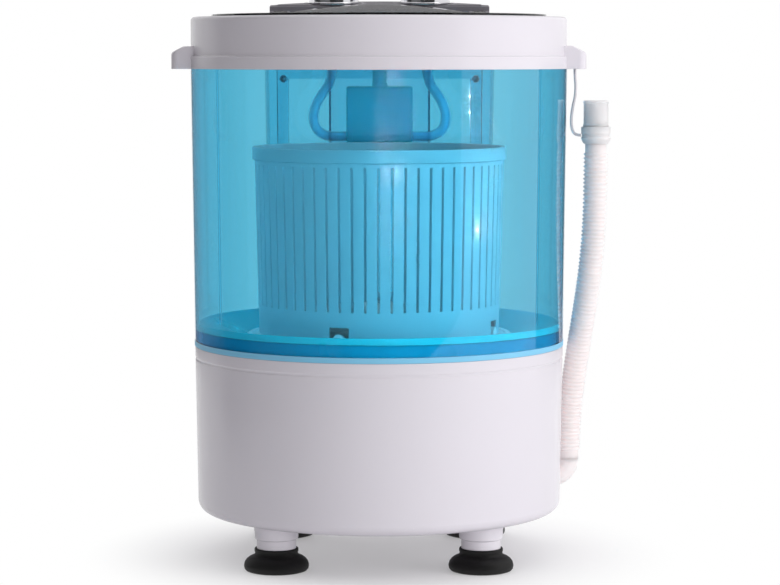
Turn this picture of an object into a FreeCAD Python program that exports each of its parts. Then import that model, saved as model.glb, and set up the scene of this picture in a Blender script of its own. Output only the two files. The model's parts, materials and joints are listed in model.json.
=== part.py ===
import FreeCAD, Part
import math
import os
import re

import Sketcher

# Mini washing machine with a spin basket. Millimetres, Z up from the floor, front towards -Y,
# the tub's axis on Z. Every size below is a cell of the sheet, and the objects are bound to it.

os.makedirs("parts", exist_ok=True)
doc = FreeCAD.newDocument("mini_washing_machine")
V = FreeCAD.Vector

SIZES = {
    # levels above the floor
    "foot_tall": 20, "post_low": 9, "post_step": 28, "base_low": 41, "base_high": 187,
    "floor_high": 190, "bowl_high": 208, "ring_low": 430, "tub_high": 436, "band_high": 441,
    "ring_high": 475,
    # feet and base
    "foot_radius": 28, "foot_neck": 18.9, "post_radius": 17.2, "post_head": 18.8,
    "post_spread": 88, "base_high_radius": 162.7, "base_draft": 2.2, "base_wall": 3,
    "base_round": 9, "bead_drop": 10, "bead_deep": 0.7, "bead_wide": 1.4, "vent_count": 16,
    "vent_wide": 4, "vent_long": 26, "vent_reach": 82,
    # tub
    "tub_draft": 2.7, "tub_wall": 3, "floor_wall": 3, "bowl_gap": 7,
    "spigot_tall": 6, "spigot_wall": 3, "spigot_gap": 0.2, "space_deep": 40.7,
    "window_half": 86, "window_low": 216, "window_high": 420, "window_edge": 10,
    "cover_thick": 1.5, "screw_radius": 1.5, "screw_head": 3.4, "screw_tall": 1.6,
    # top ring, grips and hinge
    "band_lip": 1.8, "ring_step": 0.4, "ring_wall": 2.5, "ring_round": 3,
    "deck_thick": 4, "deck_wide": 26.4, "chord_step": 8.5, "chord_wall": 2.5,
    "grip_out": 14.6, "grip_half": 40, "grip_face": 14, "grip_rise": 20, "grip_wall": 2.5,
    "grip_deep": 11, "hinge_step": 7.5, "hinge_high": 479, "ear_in": 1, "ear_thick": 3,
    "ear_round": 3.2, "knuckle_long": 12, "pin_radius": 1.5, "run_gap": 0.05, "body_gap": 0.3,
    # lid
    "lid_lap": 8, "lid_thick": 3.5, "lid_step": 12, "tongue_half": 78, "tongue_gap": 1.2,
    "dome_inset": 13.5, "dome_rise": 9.2, "dome_wall": 2.4, "tab_half": 24, "tab_out": 6,
    # console, knobs and switches
    "console_half": 101, "console_round": 6, "console_wall": 2.2, "panel_low": 486.5,
    "panel_tilt": 6, "plate_thick": 0.8, "plate_edge": 4, "knob_in": 23.5, "knob_half_gap": 42.3,
    "knob_radius": 23, "knob_tall": 16.8, "knob_draft": 1.2, "knob_rim": 6, "knob_top": 18.6,
    "shaft_thin": 3, "timer_half": 17, "timer_front": 19, "timer_rear": 8, "timer_tall": 24,
    # wiring behind the flat wall
    "duct_half": 47, "duct_deep": 25, "duct_wall": 1.6, "box_half": 31, "box_low": 361,
    "box_tall": 52, "box_deep": 20, "loom_in": 16, "loom_radius": 4.5, "loom_bulge": 63,
    "sleeve_radius": 6.5,
    # pulsator and basket
    "disc_gap": 5, "disc_low": 193, "disc_thick": 4.5, "hub_radius": 26, "hub_high": 224,
    "vane_count": 4, "vane_thick": 7, "vane_tall": 9, "lug_count": 4, "lug_wide": 10,
    "lug_tall": 8, "lug_turn": -18.7, "basket_low": 198, "basket_gap": 12.5, "basket_draft": 3.5,
    "basket_wall": 2.2, "rim_lip": 2.1, "rim_low": 350.5, "rim_high": 362, "basket_floor": 212,
    "slot_count": 60, "slot_wide": 2.3, "slot_low": 224, "slot_high": 347, "notch_wide": 19,
    "notch_tall": 13,
    # drive
    "shaft_radius": 7, "shaft_low": 50, "seal_radius": 22, "bearing_radius": 17.5,
    "bearing_tall": 11, "housing_radius": 24, "housing_low": 114, "flange_radius": 40,
    "flange_thick": 8, "belt_level": 63, "belt_tall": 8, "belt_thick": 5, "pulley_tall": 13,
    "pulley_radius": 62, "pulley_groove": 56, "motor_x": -80, "motor_y": -25,
    "motor_radius": 42, "motor_low": 80, "motor_high": 150, "rotor_radius": 5, "core_radius": 24,
    "core_inset": 12, "motor_groove": 11, "bracket_half": 34, "bracket_thick": 3,
    "spacer_radius": 6, "spacer_spread": 26, "can_radius": 17, "can_tall": 60, "can_x": 66,
    "can_y": -88,
    # drain and hose
    "drain_in": 6, "drain_y": 40, "drain_radius": 10, "drain_bore": 7, "boss_low": 184,
    "boss_radius": 13, "elbow_high": 63, "elbow_radius": 9, "elbow_bend": 14,
    "spigot_radius": 7.5, "spigot_bore": 5.5, "hose_out": 8.3, "hose_low": 79,
    "hose_radius": 10.7, "hose_root": 9.3, "hose_bore": 7.5, "hose_pitch": 3.6,
    "hose_hang": 11.5, "hose_top_y": 5, "hose_high": 364, "collar_radius": 13,
    "collar_tall": 15, "cuff_radius": 11.3, "cuff_tall": 23, "strap_radius": 1.25,
    "gland_x": -60, "gland_high": 72, "gland_radius": 8,
}

# Sizes that follow from others, written out wherever a formula names them
TIED = {
    "base_low_radius": "base_high_radius - base_draft",
    "tub_high_radius": "base_high_radius + tub_draft",
    "band_radius": "tub_high_radius + band_lip",
    "ring_radius": "tub_high_radius - ring_step",
    "grip_reach": "tub_high_radius + grip_out",
    "mouth_radius": "tub_high_radius - deck_wide",
    "lid_radius": "mouth_radius + lid_lap",
    "tab_reach": "lid_radius + tab_out",
    "flat_back": "base_high_radius - space_deep",
    "chord": "flat_back - chord_step",
    "hinge_back": "chord - hinge_step",
    "ear_near": "console_half - knuckle_long - 2 * ear_thick - ear_in",
    "lid_chord": "chord - lid_step",
    "dome_radius": "lid_chord - dome_inset",
    "knob_y": "chord + knob_in",
    "loom_y": "flat_back + loom_in",
    "disc_radius": "flat_back - disc_gap",
    "bowl_radius": "disc_radius + bowl_gap",
    "basket_high_radius": "flat_back - basket_gap",
    "basket_low_radius": "basket_high_radius - basket_draft",
    "rim_radius": "basket_high_radius + rim_lip",
    "drain_x": "bowl_radius + drain_in",
    "hose_x": "base_high_radius + hose_out",
    "hose_top_x": "grip_reach + hose_hang",
}

sheet = doc.addObject("Spreadsheet::Sheet", "sizes")
for row, (alias, value) in enumerate(SIZES.items(), 1):
    sheet.set(f"A{row}", alias)
    sheet.set(f"B{row}", str(value))
    sheet.setAlias(f"B{row}", alias)
doc.recompute()

# Formulas that several pieces share
PANEL_HIGH = "panel_low + (knob_y - chord) * tan(panel_tilt)"
FLAT_REAR = "flat_back + tub_wall"
TUB_SLOPE = "(tub_high_radius - base_high_radius) / (tub_high - base_high)"
LID_LOW = "ring_high + body_gap"
LID_HIGH = "ring_high + body_gap + lid_thick"
NODES = []


def link(formula):
    """The formula with each size named on the sheet, and each tied one written out."""

    def spell(found):
        name = found[0]
        if name in TIED:
            return f"({link(TIED[name])})"
        return f"sizes.{name}" if name in SIZES else name

    return re.sub(r"[a-z][a-z_]*", spell, formula)


def num(formula):
    """What a formula comes to with the sheet's sizes."""
    return float(sheet.evalExpression(link(formula)))


def origin(part, role):
    return next(f for f in part.Origin.OriginFeatures if f.Role == role)


def node(obj):
    """Keep an object as a piece that is exported under its label."""
    NODES.append(obj)
    return obj


def place(obj, spot, tilt=None):
    """Put an object at a spot of three formulas, tipped about X by a fourth."""
    if tilt:
        obj.Placement = FreeCAD.Placement(V(), FreeCAD.Rotation(V(1, 0, 0), num(tilt)))
        obj.setExpression("Placement.Rotation.Angle", link(tilt))
    for axis, formula in zip("xyz", spot):
        obj.setExpression(f"Placement.Base.{axis}", link(formula))
    return obj


def body(name, spot=("0", "0", "0"), tilt=None):
    return place(doc.addObject("PartDesign::Body", name), spot, tilt)


def sketch(part, plane, lift="0"):
    """A sketch on one of the body's own planes, moved along its normal."""
    sk = part.newObject("Sketcher::SketchObject", f"{part.Name}_sketch")
    sk.AttachmentSupport = [(origin(part, f"{plane}_Plane"), "")]
    sk.MapMode = "FlatFace"
    sk.setExpression("AttachmentOffset.Base.z", link(lift))
    return sk


def fix(sk, kind, *where, formula):
    """A dimension of the sketch, bound to the sheet."""
    index = sk.addConstraint(Sketcher.Constraint(kind, *where, num(formula)))
    sk.setExpression(f"Constraints[{index}]", link(formula))


def outline(sk, corners):
    """A closed loop; a corner is (across, up), or (across, up, radius) to go on by a clockwise arc."""
    first, count, ends = sk.GeometryCount, len(corners), []
    spots = [V(num(c[0]), num(c[1]), 0) for c in corners]
    for i, corner in enumerate(corners):
        a, b = spots[i], spots[(i + 1) % count]
        if len(corner) == 2:
            sk.addGeometry(Part.LineSegment(a, b))
            ends.append((1, 2))
        else:
            radius, chord = num(corner[2]), b - a
            rise = math.sqrt(radius**2 - chord.Length**2 / 4)
            centre = (a + b) / 2 + V(chord.y, -chord.x, 0) * (rise / chord.Length)
            turn = [math.atan2(p.y - centre.y, p.x - centre.x) for p in (b, a)]
            sk.addGeometry(Part.ArcOfCircle(Part.Circle(centre, V(0, 0, 1), radius), *turn))
            ends.append((2, 1))
            fix(sk, "Radius", first + i, formula=corner[2])
    for i, corner in enumerate(corners):
        after = (i + 1) % count
        sk.addConstraint(
            Sketcher.Constraint("Coincident", first + i, ends[i][1], first + after, ends[after][0])
        )
        fix(sk, "DistanceX", first + i, ends[i][0], formula=corner[0])
        fix(sk, "DistanceY", first + i, ends[i][0], formula=corner[1])
    return sk


def rectangle(sk, left, right, low, high):
    return outline(sk, [(left, low), (right, low), (right, high), (left, high)])


def circle(sk, across, up, radius):
    index = sk.addGeometry(Part.Circle(V(num(across), num(up), 0), V(0, 0, 1), num(radius)))
    fix(sk, "DistanceX", index, 3, formula=across)
    fix(sk, "DistanceY", index, 3, formula=up)
    fix(sk, "Radius", index, formula=radius)
    return sk


def segment(sk, radius, cut, front):
    """The part of a disc in front of, or behind, a chord across it."""
    first, reach, back = sk.GeometryCount, num(radius), num(cut)
    side, lean = math.sqrt(reach**2 - back**2), math.asin(back / reach)
    turn = (math.pi - lean, 2 * math.pi + lean) if front else (lean, math.pi - lean)
    sk.addGeometry(Part.ArcOfCircle(Part.Circle(V(), V(0, 0, 1), reach), *turn))
    ends = [V(-side, back, 0), V(side, back, 0)]
    sk.addGeometry(Part.LineSegment(*(ends[::-1] if front else ends)))
    sk.addConstraint(Sketcher.Constraint("Coincident", first, 3, -1, 1))
    sk.addConstraint(Sketcher.Constraint("Coincident", first, 2, first + 1, 1))
    sk.addConstraint(Sketcher.Constraint("Coincident", first + 1, 2, first, 1))
    sk.addConstraint(Sketcher.Constraint("Horizontal", first + 1))
    fix(sk, "DistanceY", first + 1, 1, formula=cut)
    fix(sk, "Radius", first, formula=radius)
    return sk


def turned(part, corners, cut=False):
    """A profile in the XZ plane turned about Z, added or cut."""
    sk = outline(sketch(part, "XZ"), corners)
    kind = "Groove" if cut else "Revolution"
    feature = part.newObject(f"PartDesign::{kind}", f"{part.Name}_{kind}")
    feature.Profile = sk
    feature.ReferenceAxis = (sk, ["V_Axis"])
    feature.Angle = 360
    return feature


def extrude(part, kind, sk, length, back=False, middle=False):
    """A Pad or Pocket of a sketch; back turns its direction round."""
    feature = part.newObject(f"PartDesign::{kind}", f"{part.Name}_{kind}")
    feature.Profile = sk
    feature.setExpression("Length", link(length))
    feature.Reversed = back
    feature.Midplane = middle
    return feature


def around(part, feature, count):
    """Repeat a feature about Z."""
    doc.recompute()
    pattern = part.newObject("PartDesign::PolarPattern", f"{part.Name}_pattern")
    pattern.Originals = [feature]
    pattern.Axis = (origin(part, "Z_Axis"), [""])
    pattern.Angle = 360
    pattern.setExpression("Occurrences", link(count))
    part.Tip = pattern
    return pattern


def mirrored(part, features):
    """Repeat features on the other side of the YZ plane."""
    doc.recompute()
    mirror = part.newObject("PartDesign::Mirrored", f"{part.Name}_mirror")
    mirror.Originals = features
    mirror.MirrorPlane = (origin(part, "YZ_Plane"), [""])
    part.Tip = mirror
    return mirror


def soften(part, radius, pick):
    """Round the edges of a body that a test picks."""
    doc.recompute()
    base = part.Tip
    names = [f"Edge{i}" for i, edge in enumerate(base.Shape.Edges, 1) if pick(edge)]
    if not names:
        raise ValueError(f"no edge of {part.Name} to round")
    fillet = part.newObject("PartDesign::Fillet", f"{part.Name}_round")
    fillet.Base = (base, names)
    fillet.setExpression("Radius", link(radius))
    return fillet


def level(formula, radius=None):
    """Picks whole circles at one height, of one radius if given."""
    high = num(formula)

    def pick(edge):
        box = edge.BoundBox
        flat = abs(box.ZMin - high) < 0.01 and abs(box.ZMax - high) < 0.01
        return flat and (radius is None or abs(box.XMax - num(radius)) < 0.01)

    return pick


def upright(across):
    """Picks straight upright edges at one X."""

    def pick(edge):
        box = edge.BoundBox
        return box.ZLength > 1 and box.YLength < 0.01 and abs(abs(box.XMin) - num(across)) < 0.01

    return pick


def primitive(kind, name, spot, tilt=None, **sizes):
    obj = doc.addObject(f"Part::{kind}", name)
    for prop, formula in sizes.items():
        obj.setExpression(prop, link(formula))
    return place(obj, spot, tilt)


def combine(kind, name, *pieces):
    """Cut, Fuse or Common of two objects, or MultiFuse and MultiCommon of more."""
    obj = doc.addObject(f"Part::{kind}", name)
    if kind.startswith("Multi"):
        obj.Shapes = list(pieces)
    else:
        obj.Base, obj.Tool = pieces
    return obj


def shaped(name, shape):
    """A piece whose shape is made with Part's own functions."""
    obj = doc.addObject("Part::Feature", name)
    obj.Shape = shape
    return node(obj)


def unit(vector):
    return V(vector).normalize()


def route(points):
    """The edges of a line through the points with a tangent arc at each corner, and the radii."""
    edges, radii, last = [], [], points[0]
    for a, b, c in zip(points, points[1:], points[2:]):
        into, out = unit(b - a), unit(c - b)
        half = into.getAngle(out) / 2
        if half < 1e-4:
            continue
        back = 0.45 * min((b - a).Length, (c - b).Length)
        radius = back / math.tan(half)
        start, end = b - into * back, b + out * back
        middle = b + unit(out - into) * (radius / math.cos(half) - radius)
        edges += [Part.LineSegment(last, start).toShape(), Part.Arc(start, middle, end).toShape()]
        radii.append(radius)
        last = end
    edges.append(Part.LineSegment(last, points[-1]).toShape())
    return edges, radii


def across_line(point, along, radius):
    """A circle square to the line, its X axis kept near the frame's Y."""
    rim = Part.makeCircle(radius)
    rim.Placement = FreeCAD.Placement(point, FreeCAD.Rotation(V(0, 1, 0), V(), along, "ZXY"))
    return Part.Wire(rim)


def tube(edges, radius):
    start = edges[0]
    rim = across_line(start.valueAt(start.FirstParameter), start.tangentAt(0), radius)
    return Part.Wire(edges).makePipeShell([rim], True, False)


def told(name, edges, radii, solid, area):
    """Print a cord's length, its tightest bend and its volume against section times length."""
    length = sum(edge.Length for edge in edges)
    print(f"{name}: {length:.0f} mm long, least bend {min(radii):.0f} mm, "
          f"volume {solid.Volume / (area * length):.3f} of section times length")


# Base housing with its vents and side holes, on four posts and rubber feet
base = node(body("base_shell"))
turned(base, [
    ("0", "base_low"),
    ("base_low_radius", "base_low"),
    ("base_high_radius", "base_high"),
    ("base_high_radius - base_wall", "base_high"),
    ("base_low_radius - base_wall", "base_low + base_wall"),
    ("0", "base_low + base_wall"),
])
soften(base, "base_round", level("base_low", "base_low_radius"))
turned(base, [
    ("base_high_radius - bead_deep", "base_high - bead_drop - bead_wide"),
    ("base_high_radius + 1", "base_high - bead_drop - bead_wide"),
    ("base_high_radius + 1", "base_high - bead_drop"),
    ("base_high_radius - bead_deep", "base_high - bead_drop"),
], cut=True)
vent = rectangle(sketch(base, "XY", "base_low - 1"), "vent_reach", "vent_reach + vent_long",
                 "-vent_wide / 2", "vent_wide / 2")
around(base, extrude(base, "Pocket", vent, "base_wall + 2", back=True), "vent_count")
way_out = circle(sketch(base, "YZ"), "drain_y", "elbow_high", "elbow_radius")
extrude(base, "Pocket", way_out, "base_high_radius", back=True)
gland_hole = circle(sketch(base, "XZ"), "gland_x", "gland_high", "gland_radius")
extrude(base, "Pocket", gland_hole, "base_high_radius")

CORNERS = [(x, y) for y in ("-post_spread", "post_spread") for x in ("-post_spread", "post_spread")]
posts = node(body("foot_posts"))
posts.AllowCompound = True
for radius, low in (("post_radius", "post_low"), ("post_head", "post_step")):
    rounds = sketch(posts, "XY", low)
    for x, y in CORNERS:
        circle(rounds, x, y, radius)
    extrude(posts, "Pad", rounds, f"base_low - {low}")

for (x, y), name in zip(CORNERS, ("front_left", "front_right", "rear_left", "rear_right")):
    foot = node(body(f"foot_{name}", (x, y, "0")))
    turned(foot, [
        ("0", "0"),
        ("0", "post_low"),
        ("post_radius", "post_low"),
        ("post_radius", "foot_tall"),
        ("foot_neck", "foot_tall"),
        ("foot_neck", "foot_tall * 0.86"),
        ("foot_neck - 0.7", "foot_tall * 0.8"),
        ("foot_neck + 0.6", "foot_tall * 0.68", "foot_radius * 0.6"),
        ("foot_radius", "foot_tall * 0.26"),
        ("foot_radius - 1.2", "foot_tall * 0.08"),
        ("foot_radius - 4", "0"),
    ])

# Clear tub wall with its service window, and the bowl floor that rests on a ledge in its foot
tub_shell = body("tub_shell")
BOWL_SIDE = f"base_high_radius - tub_wall + (bowl_high - base_high) * {TUB_SLOPE}"
FOOT_IN = "base_high_radius - base_wall - spigot_wall"
LEDGE = "bowl_high - 2 * floor_wall"
turned(tub_shell, [
    ("base_high_radius", "base_high"),
    ("tub_high_radius", "tub_high"),
    ("tub_high_radius - tub_wall", "tub_high"),
    (f"base_high_radius - tub_wall + ({LEDGE} - base_high) * {TUB_SLOPE}", LEDGE),
    (FOOT_IN, LEDGE),
    (FOOT_IN, "base_high - spigot_tall"),
    ("base_high_radius - base_wall - spigot_gap", "base_high - spigot_tall"),
    ("base_high_radius - base_wall - spigot_gap", "base_high"),
])
bowl = node(body("tub_floor"))
turned(bowl, [
    ("seal_radius", "floor_high"),
    ("bowl_radius", "floor_high"),
    (f"{BOWL_SIDE} - 2 * spigot_gap", "bowl_high"),
    (f"{BOWL_SIDE} - 2 * spigot_gap", LEDGE),
    (FOOT_IN, LEDGE),
    ("bowl_radius", "floor_high - floor_wall"),
    ("seal_radius", "floor_high - floor_wall"),
])
boss = circle(sketch(bowl, "XY", "boss_low"), "drain_x", "drain_y", "boss_radius")
extrude(bowl, "Pad", boss, "bowl_high - boss_low")
turned(bowl, [
    ("bowl_radius - boss_radius", "floor_high"),
    ("bowl_radius", "floor_high"),
    (f"{BOWL_SIDE} - 2 * spigot_gap", "bowl_high"),
    ("bowl_radius - boss_radius", "bowl_high"),
], cut=True)
drain = circle(sketch(bowl, "XY", "boss_low - 1"), "drain_x", "drain_y", "drain_bore")
circle(drain, "0", "loom_y + 10", "sleeve_radius")
extrude(bowl, "Pocket", drain, "bowl_high - boss_low + 2", back=True)
window = rectangle(sketch(tub_shell, "XZ", f"-({FLAT_REAR} + 3)"),
                   "-window_half", "window_half", "window_low", "window_high")
extrude(tub_shell, "Pocket", window, "60")

# Flat clear wall across the rear of the tub, cut to the inside of the bowl
tub_inside = body("tub_inside")
turned(tub_inside, [
    ("0", "floor_high + spigot_gap"),
    ("bowl_radius - spigot_gap", "floor_high + spigot_gap"),
    (f"{BOWL_SIDE} - 3 * spigot_gap", "bowl_high"),
    ("tub_high_radius - tub_wall - spigot_gap", "tub_high"),
    ("0", "tub_high"),
])
flat_block = primitive("Box", "flat_block", ("-tub_high_radius", "flat_back", "floor_high"),
                       Length="2 * tub_high_radius", Width="tub_wall", Height="tub_high")
node(combine("Common", "tub_partition", tub_inside, flat_block))

# Rear cover of the wiring space, with six screws through it into the tub
cover_ring = body("cover_ring")
turned(cover_ring, [
    ("base_high_radius", "base_high"),
    ("base_high_radius + cover_thick", "base_high"),
    ("tub_high_radius + cover_thick", "tub_high"),
    ("tub_high_radius", "tub_high"),
])
cover_block = primitive(
    "Box", "cover_block",
    ("-window_half - window_edge", "flat_back / 2", "window_low - window_edge"),
    Length="2 * (window_half + window_edge)", Width="tub_high_radius",
    Height="min(window_high + window_edge; ring_low - 1) - window_low + window_edge")
cover_blank = combine("Common", "cover_blank", cover_ring, cover_block)


def cover_screws(head):
    """The six screws round the window, or just the drills that clear them."""
    solids = []
    for high in (num("window_low"), num("(window_low + window_high) / 2"), num("window_high")):
        skin = num("base_high_radius + cover_thick") + num(TUB_SLOPE) * (high - num("base_high"))
        for side in (-1, 1):
            lean = math.asin(side * num("window_half + window_edge / 2") / skin)
            out = V(math.sin(lean), math.cos(lean), 0)
            spot = out * (skin + num(f"screw_head * {TUB_SLOPE} + run_gap")) + V(0, 0, high)
            screw = Part.makeCylinder(num("screw_radius"), 7, spot - out * 7, out)
            if head:
                cap = Part.makeCylinder(num("screw_head"), num("screw_tall"), spot, out)
                screw = screw.fuse(cap).removeSplitter()
            solids.append(screw)
    return Part.makeCompound(solids)


drills = doc.addObject("Part::Feature", "cover_drills")
drills.Shape = cover_screws(head=False)
node(combine("Cut", "tub", tub_shell, drills))
node(combine("Cut", "rear_cover", cover_blank, drills))
shaped("rear_cover_screws", cover_screws(head=True))

# Top ring: skirt over the tub's edge, and the deck in it with the mouth
ring = node(body("top_ring"))
turned(ring, [
    ("tub_high_radius", "ring_low"),
    ("band_radius", "ring_low"),
    ("band_radius", "band_high"),
    ("ring_radius", "band_high"),
    ("ring_radius", "ring_high"),
    ("ring_radius - 2 * ring_wall", "ring_high"),
    ("ring_radius - 2 * ring_wall", "ring_high - deck_thick"),
    ("ring_radius - ring_wall", "ring_high - deck_thick"),
    ("ring_radius - ring_wall", "tub_high"),
    ("tub_high_radius", "tub_high"),
])
soften(ring, "ring_round", level("ring_high", "ring_radius"))
deck = node(body("top_deck"))
plate = circle(sketch(deck, "XY", "ring_high - deck_thick"), "0", "0",
               "ring_radius - 2 * ring_wall - spigot_gap")
segment(plate, "mouth_radius", "chord", front=True)
extrude(deck, "Pad", plate, "deck_thick")
switch_hole = sketch(deck, "XY", "ring_high - deck_thick - 1")
rectangle(switch_hole, "-knob_half_gap - timer_half - 3", "knob_half_gap + timer_half + 3",
          "chord + chord_wall", "ring_radius")
extrude(deck, "Pocket", switch_hole, "deck_thick + 2", back=True)

pins = []
for side, name in ((-1, "left"), (1, "right")):
    start = V(side * num("ear_near"), num("hinge_back"), num("hinge_high"))
    long = num("2 * ear_thick + knuckle_long")
    pins.append(Part.makeCylinder(num("pin_radius"), long, start, V(side, 0, 0)))
shaped("hinge_pins", Part.makeCompound(pins))

# Tray under the deck that shuts the switch space off from the tub
tray = node(body("switch_tray"))
TRAY_ROUND = "ring_radius - ring_wall - spigot_gap"
shelf = segment(sketch(tray, "XY", "tub_high"), TRAY_ROUND, "chord", front=False)
extrude(tray, "Pad", shelf, "chord_wall")
front_wall = sketch(tray, "XZ", "-chord")
FRONT_HALF = f"sqrt(({TRAY_ROUND})^2 - (chord + chord_wall)^2)"
rectangle(front_wall, f"-{FRONT_HALF}", FRONT_HALF, "tub_high", "ring_high - deck_thick")
extrude(tray, "Pad", front_wall, "chord_wall", back=True)
wire_holes = circle(sketch(tray, "XY", "tub_high - 1"), "0", "loom_y", "sleeve_radius + body_gap")
for side in ("-", ""):
    circle(wire_holes, f"{side}knob_half_gap", "loom_y", "loom_radius + body_gap")
extrude(tray, "Pocket", wire_holes, "chord_wall + 2", back=True)

# Side grips, hollow under the lip and cut to the ring's outside
envelope = body("ring_envelope")
turned(envelope, [
    ("0", "ring_low - 1"),
    ("band_radius", "ring_low - 1"),
    ("band_radius", "band_high"),
    ("ring_radius", "band_high"),
    ("ring_radius", "ring_high"),
    ("0", "ring_high"),
])
for side, name in (("-", "left"), ("", "right")):
    blank = body(f"grip_blank_{name}")
    lip = outline(sketch(blank, "XZ"), [
        (f"{side}(ring_radius - 8)", "ring_low"),
        (f"{side}grip_reach", "ring_low"),
        (f"{side}grip_reach", "ring_low + grip_face"),
        (f"{side}(ring_radius + 3)", "ring_low + grip_rise"),
        (f"{side}(ring_radius - 8)", "ring_low + grip_rise"),
    ])
    extrude(blank, "Pad", lip, "2 * grip_half", middle=True)
    soften(blank, "grip_face / 2", upright("grip_reach"))
    hollow = sketch(blank, "XY", "ring_low - 1")
    rectangle(hollow, f"{side}(ring_radius - 9)", f"{side}(grip_reach - grip_wall)",
              "-grip_half + 2 * grip_wall", "grip_half - 2 * grip_wall")
    extrude(blank, "Pocket", hollow, "grip_deep + 1", back=True)
    node(combine("Cut", f"grip_{name}", blank, envelope))

# Smoked lid: flat rim, low dome, tongue behind the hinge line and two knuckles
lid = node(body("lid"))
rim = segment(sketch(lid, "XY", LID_LOW), "lid_radius", "lid_chord", front=True)
extrude(lid, "Pad", rim, "lid_thick")
tongue = rectangle(sketch(lid, "XY", LID_LOW), "-tongue_half", "tongue_half",
                   "lid_chord - 5", "chord - tongue_gap")
extrude(lid, "Pad", tongue, "lid_thick")
tab = rectangle(sketch(lid, "XY", LID_LOW), "-tab_half", "tab_half",
                "-tab_reach", "-lid_radius + 5")
extrude(lid, "Pad", tab, "lid_thick")
DOME_ROUND = "(dome_radius^2 + dome_rise^2) / (2 * dome_rise)"
turned(lid, [
    ("0", LID_LOW),
    ("0", f"{LID_HIGH} + dome_rise", DOME_ROUND),
    ("dome_radius", LID_HIGH),
    ("dome_radius", LID_LOW),
])
turned(lid, [
    ("0", f"{LID_LOW} - 1"),
    ("0", f"{LID_HIGH} + dome_rise - dome_wall", DOME_ROUND),
    ("dome_radius", f"{LID_HIGH} - dome_wall"),
    ("dome_radius", f"{LID_LOW} - 1"),
], cut=True)
knuckle = sketch(lid, "YZ", "ear_near + ear_thick + body_gap")
outline(knuckle, [
    ("hinge_back - ear_round", "hinge_high", "ear_round * 1.0001"),
    ("hinge_back + ear_round", "hinge_high", "ear_round * 1.0001"),
])
arm = rectangle(sketch(lid, "YZ", "ear_near + ear_thick + body_gap"),
                "lid_chord - 4", "hinge_back", LID_LOW, LID_HIGH)
KNUCKLE = "knuckle_long - 2 * body_gap"
barrels = [extrude(lid, "Pad", arm, KNUCKLE), extrude(lid, "Pad", knuckle, KNUCKLE)]
mirrored(lid, barrels)
bore = circle(sketch(lid, "YZ"), "hinge_back", "hinge_high", "pin_radius + run_gap")
extrude(lid, "Pocket", bore, "3 * ear_near", middle=True)

# Console over the switch space with the lid's hinge ears, its face plate and the two switches
console_side = body("console_side")
slope = outline(sketch(console_side, "YZ"), [
    ("chord", "ring_high"),
    ("chord", "panel_low"),
    ("ring_radius", "panel_low + (ring_radius - chord) * tan(panel_tilt)"),
    ("ring_radius", "ring_high"),
])
extrude(console_side, "Pad", slope, "3 * console_half", middle=True)
console_face = body("console_face")
front = outline(sketch(console_face, "XZ"), [
    ("-console_half", "ring_high"),
    ("-console_half", "panel_low - console_round / 2", "console_round"),
    ("-console_half + console_round", "panel_low + console_round / 2"),
    ("-console_half + console_round", "panel_low + 4 * console_round"),
    ("console_half - console_round", "panel_low + 4 * console_round"),
    ("console_half - console_round", "panel_low + console_round / 2", "console_round"),
    ("console_half", "panel_low - console_round / 2"),
    ("console_half", "ring_high"),
])
extrude(console_face, "Pad", front, "ring_radius", back=True)
console_round = primitive("Cylinder", "console_round_edge", ("0", "0", "ring_high"),
                          Radius="ring_radius - ring_round", Height="ring_radius")
console_blank = combine("MultiCommon", "console_blank", console_side, console_face, console_round)
hollow_side = body("hollow_side")
UNDER_PANEL = "panel_low - console_wall / cos(panel_tilt)"
inside = outline(sketch(hollow_side, "YZ"), [
    ("chord + console_wall", "ring_high - 1"),
    ("chord + console_wall", f"{UNDER_PANEL} + console_wall * tan(panel_tilt)"),
    ("ring_radius", f"{UNDER_PANEL} + (ring_radius - chord) * tan(panel_tilt)"),
    ("ring_radius", "ring_high - 1"),
])
extrude(hollow_side, "Pad", inside, "2 * (console_half - console_round)", middle=True)
hollow_round = primitive("Cylinder", "hollow_round", ("0", "0", "ring_high - 1"),
                         Radius="ring_radius - ring_round - console_wall", Height="ring_radius")
hollow = combine("Common", "console_hollow", hollow_side, hollow_round)
stems = [
    primitive("Cylinder", f"stem_hole_{name}",
              (f"{side}knob_half_gap", "knob_y + 10 * sin(panel_tilt)",
               f"{PANEL_HIGH} - 10 * cos(panel_tilt)"),
              "panel_tilt", Radius="shaft_thin + 1", Height="20")
    for side, name in (("-", "left"), ("", "right"))
]
console_tools = combine("MultiFuse", "console_tools", hollow, *stems)
console_shell = combine("Cut", "console_shell", console_blank, console_tools)
ears = body("hinge_ears")
ears.AllowCompound = True
plates = []
for near in ("ear_near", "ear_near + ear_thick + knuckle_long"):
    ear = outline(sketch(ears, "YZ", near), [
        ("hinge_back - ear_round", LID_LOW),
        ("hinge_back - ear_round", "hinge_high", "ear_round * 1.0001"),
        ("hinge_back + ear_round", "hinge_high"),
        ("chord + console_wall / 2", "hinge_high"),
        ("chord + console_wall / 2", LID_LOW),
    ])
    circle(ear, "hinge_back", "hinge_high", "pin_radius")
    plates.append(extrude(ears, "Pad", ear, "ear_thick"))
mirrored(ears, plates)
node(combine("Fuse", "console", console_shell, ears))

plate_blank = body("plate_blank", ("0", "knob_y", PANEL_HIGH), "panel_tilt")
plate = rectangle(sketch(plate_blank, "XY"),
                  "-console_half + console_round + 1", "console_half - console_round - 1",
                  "chord - knob_y + plate_edge", "ring_radius - knob_y")
for side in ("-", ""):
    circle(plate, f"{side}knob_half_gap", "0", "shaft_thin + 1")
extrude(plate_blank, "Pad", plate, "plate_thick")
plate_round = primitive("Cylinder", "plate_round", ("0", "0", "ring_high"),
                        Radius="ring_radius - ring_round - plate_edge", Height="ring_radius")
node(combine("Common", "panel_plate", plate_blank, plate_round))

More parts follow.
